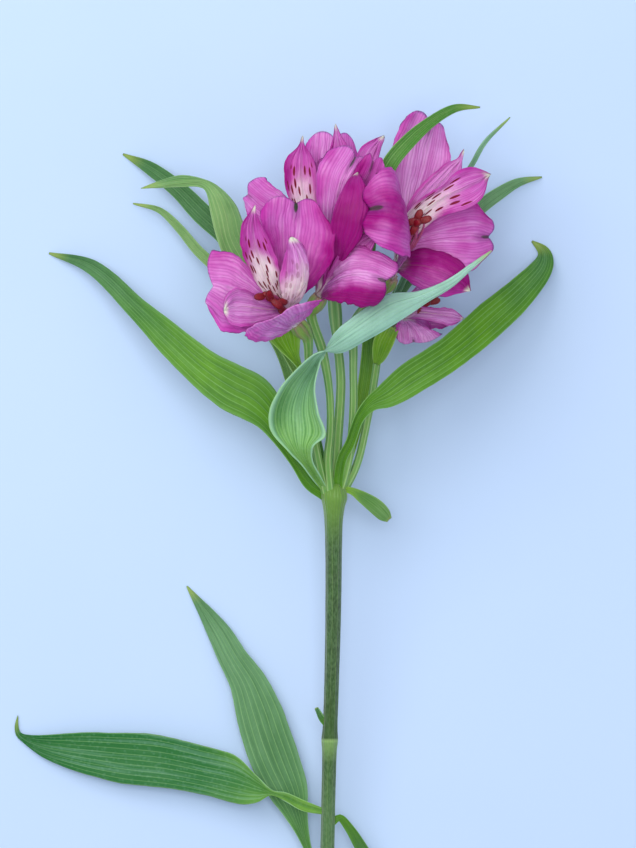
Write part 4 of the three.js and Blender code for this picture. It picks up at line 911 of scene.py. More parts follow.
LEAST_HALF_WIDTH = 0.15
ALMOST_FLAT = 0.001      # the least cup, in radians, so that a flat leaf can be divided by it
LEAST_ROWS = 24
ROWS_PER_LENGTH = 0.8    # for each millimetre
WAVES_PER_LENGTH = 0.04
RIB_SHARE = 0.006        # of the half width
RUFFLE_SHARE = 0.10
LEAF_MAKE = {"Columns": 37, "Thickness": LEAF_THICK * MM, "Ribs": 7.0, "Folds": 0.0003, "Crinkle": 0.0001,
             "Edge_Wave": 0.05, "Lobe": 0.0, "Taper": 0.0}


def tissue(deep_left, deep_middle, deep_right, pale, claw, marks, deep_end=0.0):
    """The colour inputs of a blade; on some tepals these carry painted shade and painted light."""
    return {"Deep_Left": deep_left, "Deep_Middle": deep_middle, "Deep_Right": deep_right, "Pale": pale,
            "Claw": claw, "Marks": marks, "Deep_End": deep_end}


def leaf_line(stations):
    """Midrib, wing and lift of a leaf from stations of half width, roll and cup."""
    line = catmull_rom(stations, SPAN_STEPS)
    at = line[:, :3]
    along = directions(at)
    face = square_to(np.tile(UP, (len(at), 1)), along)
    roll = np.radians(line[:, 4:5])
    face = face * np.cos(roll) + np.cross(along, face) * np.sin(roll)
    half = np.maximum(line[:, 3:4], LEAST_HALF_WIDTH)
    cup = np.radians(line[:, 5:6]) + ALMOST_FLAT
    return at, np.cross(along, face) * half * np.sin(cup) / cup, face * half * (1 - np.cos(cup)) / cup


def margin_line(rows):
    """Midrib, wing and lift of a blade from rows of left margin, midrib and right margin."""
    rows = np.asarray(rows, float)
    line = catmull_rom(np.hstack([rows[:, 1], rows[:, 0], rows[:, 2]]), ROW_STEPS)
    at, left, right = line[:, :3], line[:, 3:6], line[:, 6:]
    return at, (right - left) / 2, (left + right) / 2 - at


def leaf(name, slot, lines, seed):
    """One leaf blade with its parallel ribs."""
    at, wing, lift = lines
    half = float(np.linalg.norm(wing, axis=1).max()) * MM
    length = length_of(at)
    look = tissue(*LEAF_TISSUE.get(name.removesuffix("_blade"), PLAIN_LEAF))
    start = line_mesh(name, at, wing=wing * MM, lift=lift * MM)
    return grown(BLADE, name, start, Rows=int(LEAST_ROWS + length * ROWS_PER_LENGTH), Length=length * MM,
                 Rib_Height=RIB_SHARE * half, Ruffle=RUFFLE_SHARE * half,
                 Ruffle_Waves=WAVES_PER_LENGTH * length, Seed=float(seed), Material=LEAF_FINISH[slot],
                 **LEAF_MAKE, **look)


for seed, (name, (slot, stations)) in enumerate(LEAVES.items()):
    finished(leaf(name + "_blade", slot, leaf_line(stations), seed), name)
for seed, (name, (slot, rows)) in enumerate(BROAD_LEAVES.items(), 20):
    finished(leaf(name + "_blade", slot, margin_line(rows), seed), name)


# ---- Flowers: base is the top of the ovary, axis the way that the flower opens ----

FLOWERS = {
    "front": {
        "base": [-14, 66, 64], "axis": [-0.47, 0.67, 0.574],
        "pedicel": [[-2.2, -1, 32, 1.8], [-5, 10.6, 39, 1.6], [-8.2, 29, 46, 1.4], [-9.2, 50, 53.5, 1.4]],
    },
    "upper": {
        "base": [-1, 88, 46], "axis": [-0.05, 0.9, 0.43],
        "pedicel": [[0.6, -1, 31, 2], [1.5, 17, 34, 1.8], [3, 44, 37, 1.7], [1.6, 60, 39, 1.8],
                    [1, 68, 40, 2.5], [0.4, 75, 42, 2.4]],
    },
    "middle": {
        "base": [-4.6, 76, 62], "axis": [0.42, 0.7, 0.55],
        "pedicel": [[-0.8, -1, 33, 1.9], [-2, 13.7, 39.5, 1.6], [-1, 25, 43, 1.4], [-1.4, 40, 47, 1.4],
                    [-4, 55, 52, 1.7]],
    },
    "right": {
        "base": [22.5, 83.5, 47], "axis": [0.46, 0.62, 0.62],
        "pedicel": [[2, -1, 31.5, 1.9], [6, 14, 36, 1.6], [7.8, 32, 39, 1.5], [7.8, 52, 41, 1.5],
                    [8.6, 66, 42, 2.1]],
    },
    "low": {
        "base": [25, 68.5, 28], "axis": [0.72, 0.68, 0.1],
        "pedicel": [[2.8, -0.5, 30, 1.7], [8.8, 11, 31, 1.5], [13.4, 30, 31, 1.4], [16.2, 46, 30, 1.4],
                    [17.6, 56, 28.4, 1.4]],
    },
}

# Stations of each tepal from its claw to its end: left margin, midrib and right margin.
TEPALS = {
    "front": {
        "outer_top": [
            [[-18.7, 74.8, 71], [-15.9, 74.1, 70], [-12.7, 73.7, 70]],
            [[-21.6, 85.6, 76.3], [-15.9, 84.5, 75], [-6.2, 80.3, 79.3]],
            [[-24.4, 95.6, 83], [-15.1, 94.6, 79], [-0.5, 89.5, 86]],
            [[-27.4, 103.4, 86], [-14.3, 103.2, 81], [0.1, 100, 86]],
            [[-26.3, 111.3, 84], [-14, 110.3, 81], [-3.8, 109.1, 83]],
        ],
        "outer_left": [
            [[-18, 65.9, 69.2], [-18.5, 69.2, 68], [-19.5, 72.3, 68.2]],
            [[-25.4, 63.2, 76.4], [-26.8, 72.9, 72], [-26.2, 79, 72.4]],
            [[-33.1, 61.9, 82], [-33.9, 75.5, 75], [-32.1, 86.8, 73]],
            [[-42.1, 62.6, 84], [-40.3, 77.7, 77], [-38.8, 92.1, 73]],
            [[-48.4, 70.9, 83], [-45.2, 79.2, 77], [-47.5, 93.2, 74]],
        ],
        "outer_low": [
            [[-12.1, 66.2, 67], [-14, 64.7, 69], [-15.9, 63.2, 70]],
            [[-10.8, 67.4, 72.5], [-16.2, 64.2, 77], [-19.8, 60.5, 77.5]],
            [[-8.3, 69, 80], [-18.4, 64.4, 86], [-25.9, 58.4, 86]],
            [[-6.1, 71.9, 87], [-20.6, 65.5, 92], [-31.1, 58.8, 91]],
            [[-4.6, 75.2, 90], [-22.5, 66.9, 96], [-34.1, 61, 93]],
        ],
        "inner_left": [
            [[-19.2, 70.6, 71], [-17.4, 70.7, 70], [-15.8, 71.3, 70]],
            [[-26.7, 77.5, 80.6], [-23, 77.7, 78], [-19.6, 78.7, 78.6]],
            [[-32.1, 86.9, 88], [-26.7, 86.6, 85], [-20.1, 86.5, 86]],
            [[-34.7, 95, 92], [-29.6, 95, 90], [-23.5, 94.3, 90]],
            [[-33.7, 102.8, 94], [-30.5, 102.1, 92], [-27.2, 102.8, 92]],
            [[-31.1, 106.7, 93], [-29.8, 106.7, 92.5], [-28.9, 106.4, 92.5]],
            tip(-29.3, 109, 91.5),
        ],
        "inner_top": [
            [[-17.8, 70.6, 71.7], [-16.6, 70.7, 71], [-15.5, 71, 70.7]],
            [[-19.2, 76, 80.2], [-13.6, 75, 80], [-11.6, 75.3, 78.2]],
            [[-20.3, 81, 84], [-11.3, 80.5, 87], [-10.2, 81, 84]],
            [[-19.4, 87.2, 88], [-11.1, 86, 92], [-9.8, 86.5, 88]],
            [[-17.5, 92.4, 91], [-12.8, 91.5, 95], [-10.4, 92.8, 91]],
            [[-16.2, 95.7, 93.5], [-14.8, 95.3, 95], [-12.1, 95.7, 92.5]],
            tip(-15.4, 97.2, 94.5),
        ],
        "inner_low": [
            [[-18.5, 68.4, 72.6], [-18.5, 69.9, 72], [-18.8, 71.4, 72.6]],
            [[-25.1, 66.1, 79.8], [-25.2, 70.5, 80], [-26.6, 74.4, 81.8]],
            [[-31.5, 63.7, 86], [-31.2, 71.2, 85], [-32.3, 77.7, 88]],
            [[-37.1, 64, 89], [-36.4, 71.5, 88], [-37.1, 78.2, 91]],
            [[-40.1, 66.6, 90], [-39.4, 70.7, 90], [-40.6, 74.4, 92]],
            tip(-41, 69.6, 90),
        ],
    },
    "upper": {
        "outer_left": [
            [[-6.8, 90.5, 52], [-5.7, 92.7, 52], [-4.6, 94.7, 52]],
            [[-17, 94.8, 57], [-13.7, 99.7, 57], [-10.9, 104.7, 57]],
            [[-26.1, 99.3, 59], [-21.6, 106.1, 59], [-17.1, 113, 58]],
            [[-32.2, 106.2, 57], [-28.4, 111.1, 57], [-23.5, 118.3, 56]],
            [[-31.9, 108.2, 53], [-32.3, 114.6, 54], [-27, 122.2, 53]],
        ],
        "outer_back": [
            [[-2.3, 93.9, 50.3], [-0.8, 94.2, 50], [0.8, 94.3, 50.3]],
            [[-5.6, 104.1, 53.6], [-0.4, 104.8, 52], [4.3, 104.5, 53.6]],
            [[-9.1, 116.1, 55], [0, 116.2, 52], [7.6, 116.1, 55]],
            [[-11, 127.6, 53], [0.4, 127.7, 50], [9.5, 126.8, 53]],
            [[-10.3, 136.5, 48], [0.4, 136.6, 46], [8.8, 135, 48]],
        ],
        "outer_front": [
            [[0.7, 94.2, 54.7], [-0.8, 94.1, 55], [-2.3, 93.9, 54.7]],
            [[3.8, 102.9, 64.5], [0, 102.5, 66], [-4.2, 102.2, 63.5]],
            [[6.4, 111.8, 70], [1.5, 110.9, 73], [-6.1, 111.8, 69]],
            [[9, 118.1, 73], [4.1, 119.9, 76], [-5.9, 123, 72]],
            [[10.9, 123, 72], [8.4, 127.8, 74], [-1.2, 132.5, 71]],
        ],
        "inner_left": [
            [[-5.7, 92.9, 52.6], [-4.2, 93.4, 52], [-2.7, 94.1, 51.6]],
            [[-11.8, 101.6, 58.9], [-8.4, 102.7, 58], [-5.3, 103.9, 57.9]],
            [[-16.7, 111.7, 63], [-11.4, 112.9, 61], [-5.7, 113.2, 61]],
            [[-18.4, 121.9, 63], [-12.5, 121.9, 61], [-6.1, 123.1, 61]],
            [[-17.4, 128.4, 61.5], [-12.3, 128.4, 60], [-8, 128.8, 60]],
            [[-13.7, 131.9, 59], [-11.9, 132.3, 58.5], [-10.2, 131.9, 58.5]],
            [[-12.1, 134.2, 57.5], [-11.8, 134.4, 57.5], [-11.2, 134.2, 57.5]],
            tip(-11.4, 136.5, 56),
        ],
        "inner_back": [
            [[-1.9, 94.2, 52.3], [-0.8, 94.2, 52], [0.4, 94.2, 52.3]],
            [[-3, 103.5, 57.8], [0, 103.9, 57], [3, 103.9, 57.8]],
            [[-3.8, 114.3, 62], [1.1, 114.4, 60], [5.6, 114.3, 62]],
            [[-3.1, 125, 61], [1.9, 125, 60], [6.4, 125, 61]],
            [[-0.8, 132.2, 59], [1.9, 132.7, 58], [5.3, 132.6, 59]],
            [[0.4, 137.1, 56], [1.5, 137.3, 55.5], [3, 136.9, 56]],
            tip(0.9, 141.2, 53),
        ],
        "inner_right": [
            [[-0.8, 94.5, 52.3], [0.4, 93.8, 52], [1.5, 93, 52.3]],
            [[1.5, 103.9, 57.8], [3.8, 103.1, 57], [6.4, 102, 57.8]],
            [[3.8, 115.1, 61], [7.9, 113.7, 59], [12.1, 112.1, 61]],
            [[7.2, 125.4, 60], [11.7, 122.8, 59], [16.3, 120.8, 60]],
            [[11, 132.5, 57.5], [15.1, 130.4, 57], [17.4, 128.1, 57.5]],
            [[15.3, 135.3, 55], [17.1, 133.9, 54.8], [18.4, 133.9, 55]],
            tip(19.4, 136.9, 52.5),
        ],
    },
    "middle": {
        "outer_low": [
            [[-4.4, 74.8, 68], [-3.4, 78.3, 68], [-3.3, 82, 67]],
            [[-1.1, 73.7, 75.4], [1.4, 81.5, 76], [-0.3, 88.1, 73.4]],
            [[4.1, 72.8, 79], [7.1, 83.3, 82], [5.2, 95.4, 77]],
            [[10.4, 71.3, 82], [13.4, 82.8, 86], [14.6, 93.4, 80]],
            [[17.2, 71.3, 80], [19.6, 80.9, 86], [25.8, 87.8, 82]],
        ],
        "outer_top": [
            [[-3.8, 80.3, 68.3], [-2.3, 80.6, 68], [-0.8, 81.1, 68.3]],
            [[-0.6, 90.4, 75.2], [2.6, 91, 72], [6.9, 92.7, 75.2]],
            [[1.4, 102.5, 78], [7.1, 103.4, 73], [13.8, 104.8, 77]],
            [[4.4, 114.5, 78], [10.5, 115.4, 74], [17.6, 115.3, 78]],
            [[7.8, 122.1, 77], [13.5, 122.1, 77], [19.5, 121.3, 79]],
            [[10.8, 127.5, 77], [15, 126.1, 79], [19.8, 123.9, 79]],
        ],
        "outer_left": [
            [[-6.8, 80.6, 65], [-5.3, 80.6, 65], [-3.8, 80.6, 65]],
            [[-9.5, 90.5, 62.9], [-6.1, 90.9, 62], [-2.3, 90.9, 61.9]],
            [[-11.4, 102, 58], [-6.5, 102.4, 57], [-0.8, 102.4, 57]],
            [[-11.8, 114.1, 57], [-6.5, 114.6, 55], [-0.8, 114.6, 55.5]],
            [[-11, 124.4, 55.5], [-6.3, 126, 54.5], [-1.9, 124.8, 55]],
        ],
        "inner_top": [
            [[-3.9, 79.9, 69.3], [-2.7, 80.2, 69], [-1.3, 80.7, 69.3]],
            [[-2.6, 88.9, 77.4], [-0.1, 89, 76], [5.2, 90, 79.4]],
            [[0.7, 97.2, 80], [-0.1, 97.8, 84], [11.2, 98.5, 86]],
            [[2.4, 106.2, 81.5], [1.4, 106.4, 87], [13.4, 107.4, 88]],
            [[4.4, 112.9, 83], [3.7, 113.9, 86], [12.6, 115, 87]],
            [[5.7, 117.4, 82], [6.1, 118.9, 83], [10.8, 119.6, 84]],
            tip(9.3, 121.8, 79),
        ],
        "inner_left": [
            [[-6.1, 79.8, 68.3], [-4.9, 80.2, 68], [-3.8, 80.5, 68.3]],
            [[-8.3, 88, 72.8], [-5.3, 88.4, 72], [-2.3, 88.7, 72.8]],
            [[-9.8, 96.6, 76], [-5.7, 96.6, 74], [-1.2, 96.6, 76]],
            [[-9.1, 103.7, 76], [-5.7, 103.7, 74.5], [-1.9, 103.7, 76]],
            tip(-5.3, 108.3, 73),
        ],
        "inner_right": [
            [[-3.4, 80.9, 69.7], [-2.7, 79.4, 69], [-1.9, 77.9, 68.7]],
            [[0.3, 88.3, 76.7], [1.8, 85.3, 75], [3.7, 82.6, 75.7]],
            [[4.8, 94.9, 80], [7.1, 90.9, 78], [9.3, 87.1, 78]],
            [[10.4, 98.7, 80], [12, 95.3, 79], [13.8, 91.6, 79]],
            tip(17.2, 99.1, 80),
        ],
    },
    "right": {
        "outer_left": [
            [[23.7, 84.7, 57.6], [23.9, 86.5, 57], [24.1, 88.5, 56.6]],
            [[26.8, 88.6, 69.1], [26.7, 94.8, 70], [25.3, 100.6, 70.1]],
            [[28.5, 90.8, 80], [28.1, 102, 82], [24.7, 114, 82]],
            [[26.9, 89.9, 86], [25.7, 106.6, 90], [22, 123.1, 89]],
            [[20.1, 92, 90], [20.1, 108.4, 94], [17.1, 123, 92]],
            [[12.3, 96.2, 89], [13.7, 107.7, 92], [12.4, 118.2, 91]],
        ],
        "outer_top": [
            [[23, 89.2, 53.3], [24.3, 89.6, 53], [25.7, 90, 53.3]],
            [[23.1, 101.3, 56.8], [26.9, 100.9, 56], [31.1, 100.9, 56.8]],
            [[21.6, 113, 56], [30, 112.3, 54], [38.3, 112.3, 56]],
            [[21.2, 124.5, 53], [33, 123.8, 51], [43.6, 123, 54]],
            [[23.9, 137.5, 51], [35.4, 134.6, 49], [44.8, 131.8, 51]],
            [[28.5, 147.2, 48], [37.3, 141.1, 46.5], [43.4, 137.6, 48]],
        ],
        "outer_right": [
            [[24.7, 92.6, 55.3], [25, 91.1, 55], [25.5, 89.5, 55.3]],
            [[30.2, 100.3, 61.8], [31, 95.5, 61], [31.7, 90.9, 61.8]],
            [[38.1, 105.5, 66], [38.9, 97.3, 64], [39.2, 88.6, 65]],
            [[46.4, 109.7, 66], [47.2, 98, 65], [47.2, 85.9, 66]],
            [[54.8, 111.2, 64], [54.4, 98.1, 63], [54, 85.6, 64]],
            [[59.7, 107.2, 62], [58.8, 98.1, 60.5], [59.4, 90.5, 61.5]],
        ],
        "inner_top": [
            [[23.5, 90.3, 54.3], [24.7, 90, 54], [25.8, 89.6, 54.3]],
            [[25.3, 101.2, 59.8], [27.6, 99.3, 59], [29.9, 97.8, 59.8]],
            [[29.8, 113.2, 62], [33.3, 109.8, 61], [36.7, 106.8, 62]],
            [[36.7, 121.1, 62], [39.7, 117.8, 61], [43.8, 114.7, 62]],
            [[42.7, 126, 60], [45.4, 124.3, 60], [48.4, 122, 60]],
            [[47, 127.5, 58], [48.1, 127.5, 58], [48.8, 127, 58]],
            tip(49.7, 131.3, 55),
        ],
        "inner_right": [
            [[23.7, 91, 55.3], [24.6, 89.9, 55], [25.6, 88.8, 55.3]],
            [[25.9, 102.8, 64.7], [27.9, 99.9, 63], [30.5, 97.5, 63.7]],
            [[31.2, 110.6, 72], [34.6, 108, 70], [38.8, 104.6, 71]],
            [[39.4, 116.1, 77], [42.5, 113.5, 75], [46.2, 107.1, 75]],
            [[47.7, 123.2, 77], [50, 116.9, 76], [54.1, 110.5, 76]],
            [[53, 124, 75], [54.9, 119.2, 75], [57.1, 114.6, 75]],
            [[56.6, 122.8, 74], [57.2, 120.7, 74], [58.1, 119, 74]],
            tip(59.3, 121.3, 72),
        ],
        "inner_low": [
            [[23.9, 85, 55], [24.3, 86.5, 55], [24.6, 88, 55]],
            [[28, 82.2, 61.4], [29.5, 87.5, 63], [30.6, 93.2, 61.4]],
            [[33.6, 78, 64], [36.2, 86.6, 68], [38.9, 93.1, 65]],
            [[39.6, 75.7, 65], [42.9, 83.9, 69], [47.5, 88.5, 66]],
            [[44.9, 76.1, 65], [48.3, 80.6, 67.5], [50.9, 82.5, 66]],
            tip(51.7, 77.6, 65),
        ],
    },
    "low": {
        "outer_low": [
            [[32, 66.1, 36.4], [28.3, 65.9, 37], [25.1, 66.1, 37.4]],
            [[37.6, 63.7, 38.3], [29.8, 62.8, 40], [23.9, 64.5, 39.3]],
            [[42.1, 61, 36], [30.7, 58.6, 40], [24.5, 59.4, 38]],
        ],
        "outer_back": [
            [[33.7, 72.1, 22.2], [33.5, 68.5, 21], [33.4, 64.8, 21.2]],
            [[40.4, 71.7, 19.5], [40.1, 68.2, 17], [39.7, 64, 18.5]],
            [[45.5, 70.8, 18], [45.2, 67.8, 15], [44.4, 64.3, 17]],
        ],
        "outer_top": [
            [[30.5, 78.5, 32.6], [32.6, 75.2, 32], [34.8, 72, 31.6]],
            [[35.6, 82.8, 31.9], [37.9, 79.4, 31], [40.2, 76.7, 30.9]],
            [[40.3, 86, 29], [42.2, 82.9, 28], [44.9, 79.9, 28]],
        ],
        "inner_front": [
            [[33.1, 72.5, 38.3], [33.2, 70.1, 38], [33.5, 67.5, 38.3]],
            [[39.7, 71.5, 39.8], [40.1, 69.3, 39], [40.5, 66, 39.8]],
            [[45.5, 71.3, 38], [45.9, 68.6, 37.5], [45.8, 65.2, 38]],
            tip(49.9, 67.7, 35),
        ],
        "inner_top": [
            [[31.8, 75, 36], [32.9, 73.2, 36], [33.8, 71.6, 36]],
            [[37.1, 78.8, 37], [38.2, 76.6, 37], [39.4, 75, 37]],
            tip(43.6, 80.5, 34),
        ],
        "inner_low": [
            [[33.1, 68.3, 24.6], [31.2, 66.1, 24], [29.3, 64.1, 24.6]],
            [[37.3, 66.2, 21.6], [35.1, 63.5, 20], [32.7, 61.2, 21.6]],
            tip(38.6, 60.5, 18),
        ],
    },
}

# The two places that the anthers of each flower lie between.
ANTHERS = {
    "front": [[-28.1, 77.1, 89], [-18.1, 70.9, 78]],
    "upper": [[-4.2, 101.7, 56], [-2.7, 109.9, 58]],
    "middle": [[2.6, 90.6, 72], [6.3, 96.6, 75]],
    "right": [[29.3, 101.8, 77], [33.3, 104.7, 80]],
    "low": [[32.9, 72.4, 37], [37.4, 75.1, 39]],
}

# Left, middle and right depth of colour, paleness, where the white base ends, marks, and depth at the end; on
# some tepals the depth is partly painted shade and the paleness partly painted light.
TEPAL_TISSUE_AND_PAINTED_LIGHT = {
    "front_outer_top": (0.35, 0.05, 1.0, 0.25, 0.10, 1.0),
    # Its deeper right margin is a painted shadow, cast by the neighbouring tepal.
    "front_outer_left": (0.0, 0.0, 0.2, 0.5, 0.10, 0.0),
    "front_outer_low": (0.0, 0.1, 0.0, 0.75, 0.28, 0.15),
    "front_inner_left": (0.7, 0.2, 0.35, 0.15, 0.66, 1.0),
    "front_inner_top": (0.0, 0.0, 0.2, 0.9, 0.68, 0.35),
    "front_inner_low": (0.0, 0.0, 0.0, 0.9, 0.12, 0.0),
    "upper_outer_left": (0.2, 0.1, 0.1, 0.5, 0.10, 0.3),
    "upper_outer_back": (0.1, 0.0, 0.1, 0.6, 0.10, 0.0),
    "upper_outer_front": (0.2, 0.05, 0.1, 0.5, 0.10, 0.8),
    "upper_inner_left": (0.75, 0.3, 0.7, 0.15, 0.66, 1.0),
    "upper_inner_back": (0.35, 0.1, 0.35, 0.3, 0.30, 0.0),
    "upper_inner_right": (0.2, 0.1, 0.2, 0.4, 0.30, 0.0),
    # On deep magenta tissue, its pale top is partly a painted highlight and its deep lower margin partly
    # painted shade.
    "middle_outer_low": (1.7, 0.05, 0.0, 0.95, 0.05, 0.7, 0.45),
    "middle_outer_top": (1.0, 0.4, 0.2, 0.1, 0.10, 0.5),
    "middle_outer_left": (0.4, 0.4, 0.4, 0.2, 0.10, 0.0),
    # The plum over its midrib and broad right half is painted shade.
    "middle_inner_top": (0.2, 1.1, 1.0, 0.1, 0.12, 0.0),
    "right_outer_left": (0.0, 0.63, 0.0, 0.7, 0.05, 0.8, 0.5),
    "right_outer_top": (0.0, 0.0, 0.0, 1.1, 0.42, 0.5),
    "right_outer_right": (0.35, 0.0, 0.1, 0.55, 0.16, 0.8, 0.3),
    "right_inner_top": (0.3, 0.0, 0.1, 0.7, 0.40, 0.3),
    "right_inner_right": (0.2, 0.05, 0.5, 0.35, 0.70, 1.0),
    "right_inner_low": (0.45, 0.85, 1.1, 0.3, 0.3, 0.0),
    # The low flower's tepals below are made paler to offset the shade that they lie in: painted light.
    "low_outer_low": (0.1, 0.0, 0.2, 1.8, 0.30, 0.6),
    "low_inner_front": (0.0, 0.0, 0.0, 1.3, 0.25, 0.0),
    "low_outer_top": (0.0, 0.0, 0.0, 1.5, 0.25, 0.0),
}
PLAIN_TEPAL = (0.35, 0.15, 0.35, 0.2, 0.28, 0.0)   # a tepal that isn't named above
TEPAL_MAKE = {"Rows": 65, "Thickness": TEPAL_THICK * MM, "Ribs": 5.0, "Rib_Height": 0.00012, "Ruffle": 0.0016,
              "Ruffle_Waves": 4.5, "Folds": 0.0012, "Crinkle": 0.00045, "Edge_Wave": 0.14}
INNER_MAKE = {"Columns": 37, "Lobe": 0.0, "Taper": 0.0}
OUTER_MAKE = {"Columns": 49, "Lobe": 0.05, "Taper": 0.05}
# How far the claw stands out from the middle of the flower, and half its breadth.
INNER_CLAW = (1.5, 1.0)
OUTER_CLAW = (2.3, 1.6)
CLAW_RISE = 0.4
INNER_LEAST_WING = 0.1   # half width that an inner tepal keeps at its pointed end
# The ovary's stations: how far along it from its top, and its share of the full radius.
OVARY_SHAPE = [(-1.0, 0.62), (-0.62, 0.95), (-0.3, 1.0), (0, 0.8)]
OVARY_RIBS = [0.25, 0.7, 1.0, 1.0, 0.8]
PEDICEL_RIB = 0.15
ANTHER_PLACES = (0.1, 0.62, 0.3, 0.85, 0.45, 1.0)   # shares of the way from the first place to the last
STYLE_PLACE = 0.5
STAMEN_SPREAD = 1.6
# The filaments start in a ring in the throat and bow out; the anthers swing to either side by turns.
RING_RISE = 0.8
RING_RADIUS = 0.7
RING_TURN = 0.3
BOW = 0.6
BEND_PLACE = 0.45        # where a filament bends, on the way from the flower's axis to its anther
SWING = 0.5
SWELL_AT_TIP = 0.12      # how much thicker an anther is at its tip than in the middle


def axis_and_base(flower):
    """The unit axis and the base of a flower."""
    return unit(flower["axis"]), np.array(flower["base"], float)


def tepal(name, flower, rows, inner, seed):
    """One tepal; an outer one is broad with a notched end, an inner one is narrower and pointed."""
    axis, base = axis_and_base(flower)
    rows = np.array(rows, float)
    outward = square_to((rows[0, 1] - base)[None], axis[None])[0]
    reach, half = INNER_CLAW if inner else OUTER_CLAW
    claw = base + outward * reach + axis * CLAW_RISE
    side = np.cross(axis, outward)
    side = side * np.sign(side @ (rows[0, 2] - rows[0, 0])) * half
    at, wing, lift = margin_line(np.concatenate([[[claw - side, claw, claw + side]], rows]))
    if inner:
        wing = wing + INNER_LEAST_WING * unit(wing[-8])
    look = tissue(*TEPAL_TISSUE_AND_PAINTED_LIGHT.get(name.replace("_flower_tepal", "").removesuffix("_blade"), PLAIN_TEPAL))
    start = line_mesh(name, at, wing=wing * MM, lift=lift * MM)
    return grown(BLADE, name, start, Length=length_of(at) * MM, Seed=float(seed),
                 Material=INNER_SKIN if inner else OUTER_SKIN,
                 **TEPAL_MAKE, **(INNER_MAKE if inner else OUTER_MAKE), **look)


def pedicel(name, flower):
    """The stalk of a flower and its six-ribbed ovary."""
    axis, base = axis_and_base(flower)
    ovary = [[*(base + axis * (d * OVARY_LENGTH)), OVARY_RADIUS * r] for d, r in OVARY_SHAPE]
    rib = [PEDICEL_RIB] * (len(flower["pedicel"]) - 1) + OVARY_RIBS
    return stalk(name, flower["pedicel"] + ovary, OVARY_SKIN, columns=49, rows=120, ribs=6, rib_height=0.45,
                 rib=rib, unevenness=0.12)


def stamen_paths(flower, anthers):
    """Start, middle and end of the six filaments and the style, and the way that each anther lies."""
    axis, base = axis_and_base(flower)
    first, last = np.array(anthers, float)
    lie = unit(last - first)
    reach = np.linalg.norm((first + last) / 2 - base)
    across = unit(np.cross(lie, UP))
    above = np.cross(across, lie)
    for i, share in enumerate((*ANTHER_PLACES, STYLE_PLACE)):
        angle = i * math.tau / STAMENS + RING_TURN
        out = across * math.cos(angle) + above * math.sin(angle)
        wide = 0 if i == STAMENS else 1   # the last path is the style's, in the middle
        end = first + (last - first) * share + out * STAMEN_SPREAD * wide
        start = base + axis * RING_RISE + out * RING_RADIUS * wide
        halfway = base + axis * 0.5 * reach
        mid = halfway * (1 - BEND_PLACE) + end * BEND_PLACE + out * BOW * wide
        swing = out * SWING * (1 if i % 2 else -1)
        yield start, mid, end, unit(lie + swing)


def anther(name, middle, lie, seed):
    """One furrowed anther around its middle."""
    half = 0.5 * ANTHER_LENGTH
    share = np.linspace(-1, 1, 7)
    swell = np.sqrt(np.maximum(1 - share**2, 0.02)) * (1 + SWELL_AT_TIP * share)
    stations = [[*(middle + lie * s * half), ANTHER_RADIUS * w] for s, w in zip(share, swell)]
    return stalk(name, stations, ANTHER_SKIN, columns=25, rows=30, ribs=2, rib_height=0.28, rib=1.0,
                 unevenness=0.14, seed=seed)


def stamens(name, flower, anther_line, seed):
    """Six filaments with their anthers, the style, and pollen on the anthers."""
    threads, anthers = [], []
    for i, (start, mid, end, lie) in enumerate(stamen_paths(flower, anther_line)):
        stations = [[*start, FILAMENT_RADIUS * 1.2], [*mid, FILAMENT_RADIUS], [*end, FILAMENT_RADIUS * 0.8]]
        threads.append(stalk(f"{name}_thread_{i}", stations, FILAMENT_SKIN, columns=13, rows=24,
                             unevenness=0.04, seed=i))
        if i < STAMENS:
            anthers.append(anther(f"{name}_anther_{i}", end, lie, i + seed))
    threads = joined(name + "_filaments", threads)
    anthers = joined(name + "_anthers", anthers)
    grains = grown(POLLEN, name + "_pollen", anthers.data.copy(), Grain_Radius=GRAIN_RADIUS * MM,
                   Grains_per_Area=GRAINS_PER_AREA / MM**2, Seed=seed, Material=POLLEN_SKIN)
    return threads, anthers, grains


for number, (which, flower) in enumerate(FLOWERS.items()):
    node = f"{which}_flower_pedicel_ovary"
    finished(pedicel(node + "_skin", flower), node)
    for piece in stamens(f"{which}_flower", flower, ANTHERS[which], number):
        finished(piece, f"{which}_flower_stamens")
    for place, (where, rows) in enumerate(TEPALS[which].items()):
        inner = where.startswith("inner")
        node = f"{which}_flower_tepal_{where}"
        piece = tepal(node + "_blade", flower, rows, inner, 10 * number + place)
        finished(piece, node)


# ---- Main stem: stations are x, y and radius, from the whorl to the cut ----

STEM_SLOPE = (WHORL_HEIGHT - STEM_RADIUS) / STEM_BELOW_WHORL
STEM_STATIONS = [
    [0.6, 5.4, 1.6], [0.6, 4.4, 3], [0.5, 2.2, 4.5], [0.5, -0.6, 5.1], [0.4, -4, 4.3], [0.3, -9.5, 3.6],
    [0.3, -21, 3.25], [0.2, -44.5, 3.05], [-0.6, -77.5, STEM_RADIUS], [-1, -90, 2.9], [-1.1, -94, 3.2],
    [-1.2, -98, 2.85], [-1.6, -115, 2.7], [-2, -134, 2.7], [-3, -170, 2.75],
    [-4, -STEM_BELOW_WHORL, STEM_RADIUS],
]
TORN_LEAF_PLACE = 88   # how far below the whorl a leaf was torn off
TORN_HEIGHT = WHORL_HEIGHT - TORN_LEAF_PLACE * STEM_SLOPE + 0.6
TORN_STUB = [
    [-2.4, -TORN_LEAF_PLACE, TORN_HEIGHT, 1.3, 0, 30],
    [-4.2, -85.8, 20.8, 1.3, 0, 40],
    [-6.4, -81.6, 21.6, 0.6, 0, 20],
]
stem_line = [[x, y, WHORL_HEIGHT + STEM_SLOPE * y, r] for x, y, r in STEM_STATIONS]
stem = stalk("main_stem_skin", stem_line, STEM_SKIN, columns=65, rows=260, ribs=7, rib_height=0.07,
             rib=[0, 0, 0.4, 1, 1], unevenness=0.14)
finished(stem, "main_stem")
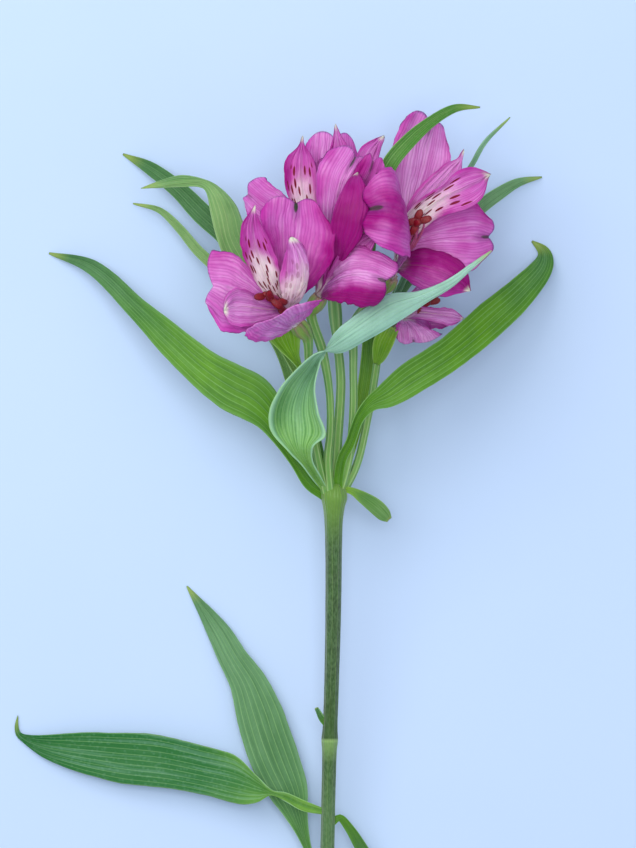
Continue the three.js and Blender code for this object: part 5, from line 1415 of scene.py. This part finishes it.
finished(leaf("torn_leaf_stub", "green_leaf", leaf_line(TORN_STUB), 99), "main_stem")


# ---- Table, light and camera, in metres ----

TABLE_SIDE = 8.0
LIGHT_AIM = (0, 0.05, 0.03)
# Each light: place, size, power and tint.
LIGHTS = {
    "window": ((-0.55, 0.65, 1.15), 1.2, 10.5, (1.0, 0.99, 0.97)),
    "fill": ((0.9, -0.5, 1.6), 1.6, 2.5, (0.9, 0.95, 1.0)),
    "overhead": ((0.1, 0.2, 3.0), 1.4, 30.0, (0.96, 0.98, 1.0)),
}
WORLD_TINT = "#f2f6ff"
WORLD_STRENGTH = 0.5
VIEW_HEIGHT = 0.32224
VIEW_MIDDLE = (0.0134, 0.0577, 0.05)
VIEW_DISTANCE = 2.5
SENSOR_WIDTH = 36.0


def table_top():
    """The pale table that the stem lies on."""
    finish = Finish("pale_table", "#bcd3f3", 0.75)
    finish.lay(finish.mottle(9.0, 3.0) * 0.25, "#c4d9f7")
    half = TABLE_SIDE / 2
    corners = [(-half, -half, 0), (half, -half, 0), (half, half, 0), (-half, half, 0)]
    mesh = bpy.data.meshes.new("table_top")
    mesh.from_pydata(corners, [], [(0, 1, 2, 3)])
    mesh.materials.append(finish.done())
    top = bpy.data.objects.new("table_top", mesh)
    scene.collection.objects.link(top)


def soft_light(name, place, size, power, tint):
    """A round soft light that shines at the flowers."""
    data = bpy.data.lights.new(name, "AREA")
    data.shape = "DISK"
    data.size = size
    data.energy = power
    data.color = tint
    lamp = bpy.data.objects.new(name, data)
    lamp.location = place
    direction = np.array(LIGHT_AIM, float) - np.array(place, float)
    lamp.rotation_euler = Vector(direction).to_track_quat("-Z", "Y").to_euler()
    scene.collection.objects.link(lamp)


def camera():
    """Looks straight down on the flowers and the upper two thirds of the stem."""
    data = bpy.data.cameras.new("camera")
    data.sensor_width = SENSOR_WIDTH
    data.lens = SENSOR_WIDTH * VIEW_DISTANCE / VIEW_HEIGHT
    data.clip_end = 20.0
    eye = bpy.data.objects.new("camera", data)
    x, y, z = VIEW_MIDDLE
    eye.location = (x, y, z + VIEW_DISTANCE)
    scene.collection.objects.link(eye)
    scene.camera = eye


def surroundings():
    """A pale, even studio around the table."""
    world = bpy.data.worlds.new("studio")
    world.use_nodes = True
    background = world.node_tree.nodes["Background"]
    background.inputs["Color"].default_value = colour(WORLD_TINT)
    background.inputs["Strength"].default_value = WORLD_STRENGTH
    scene.world = world
    scene.view_settings.view_transform = "Standard"


table_top()
for name, light in LIGHTS.items():
    soft_light(name, *light)
surroundings()
camera()
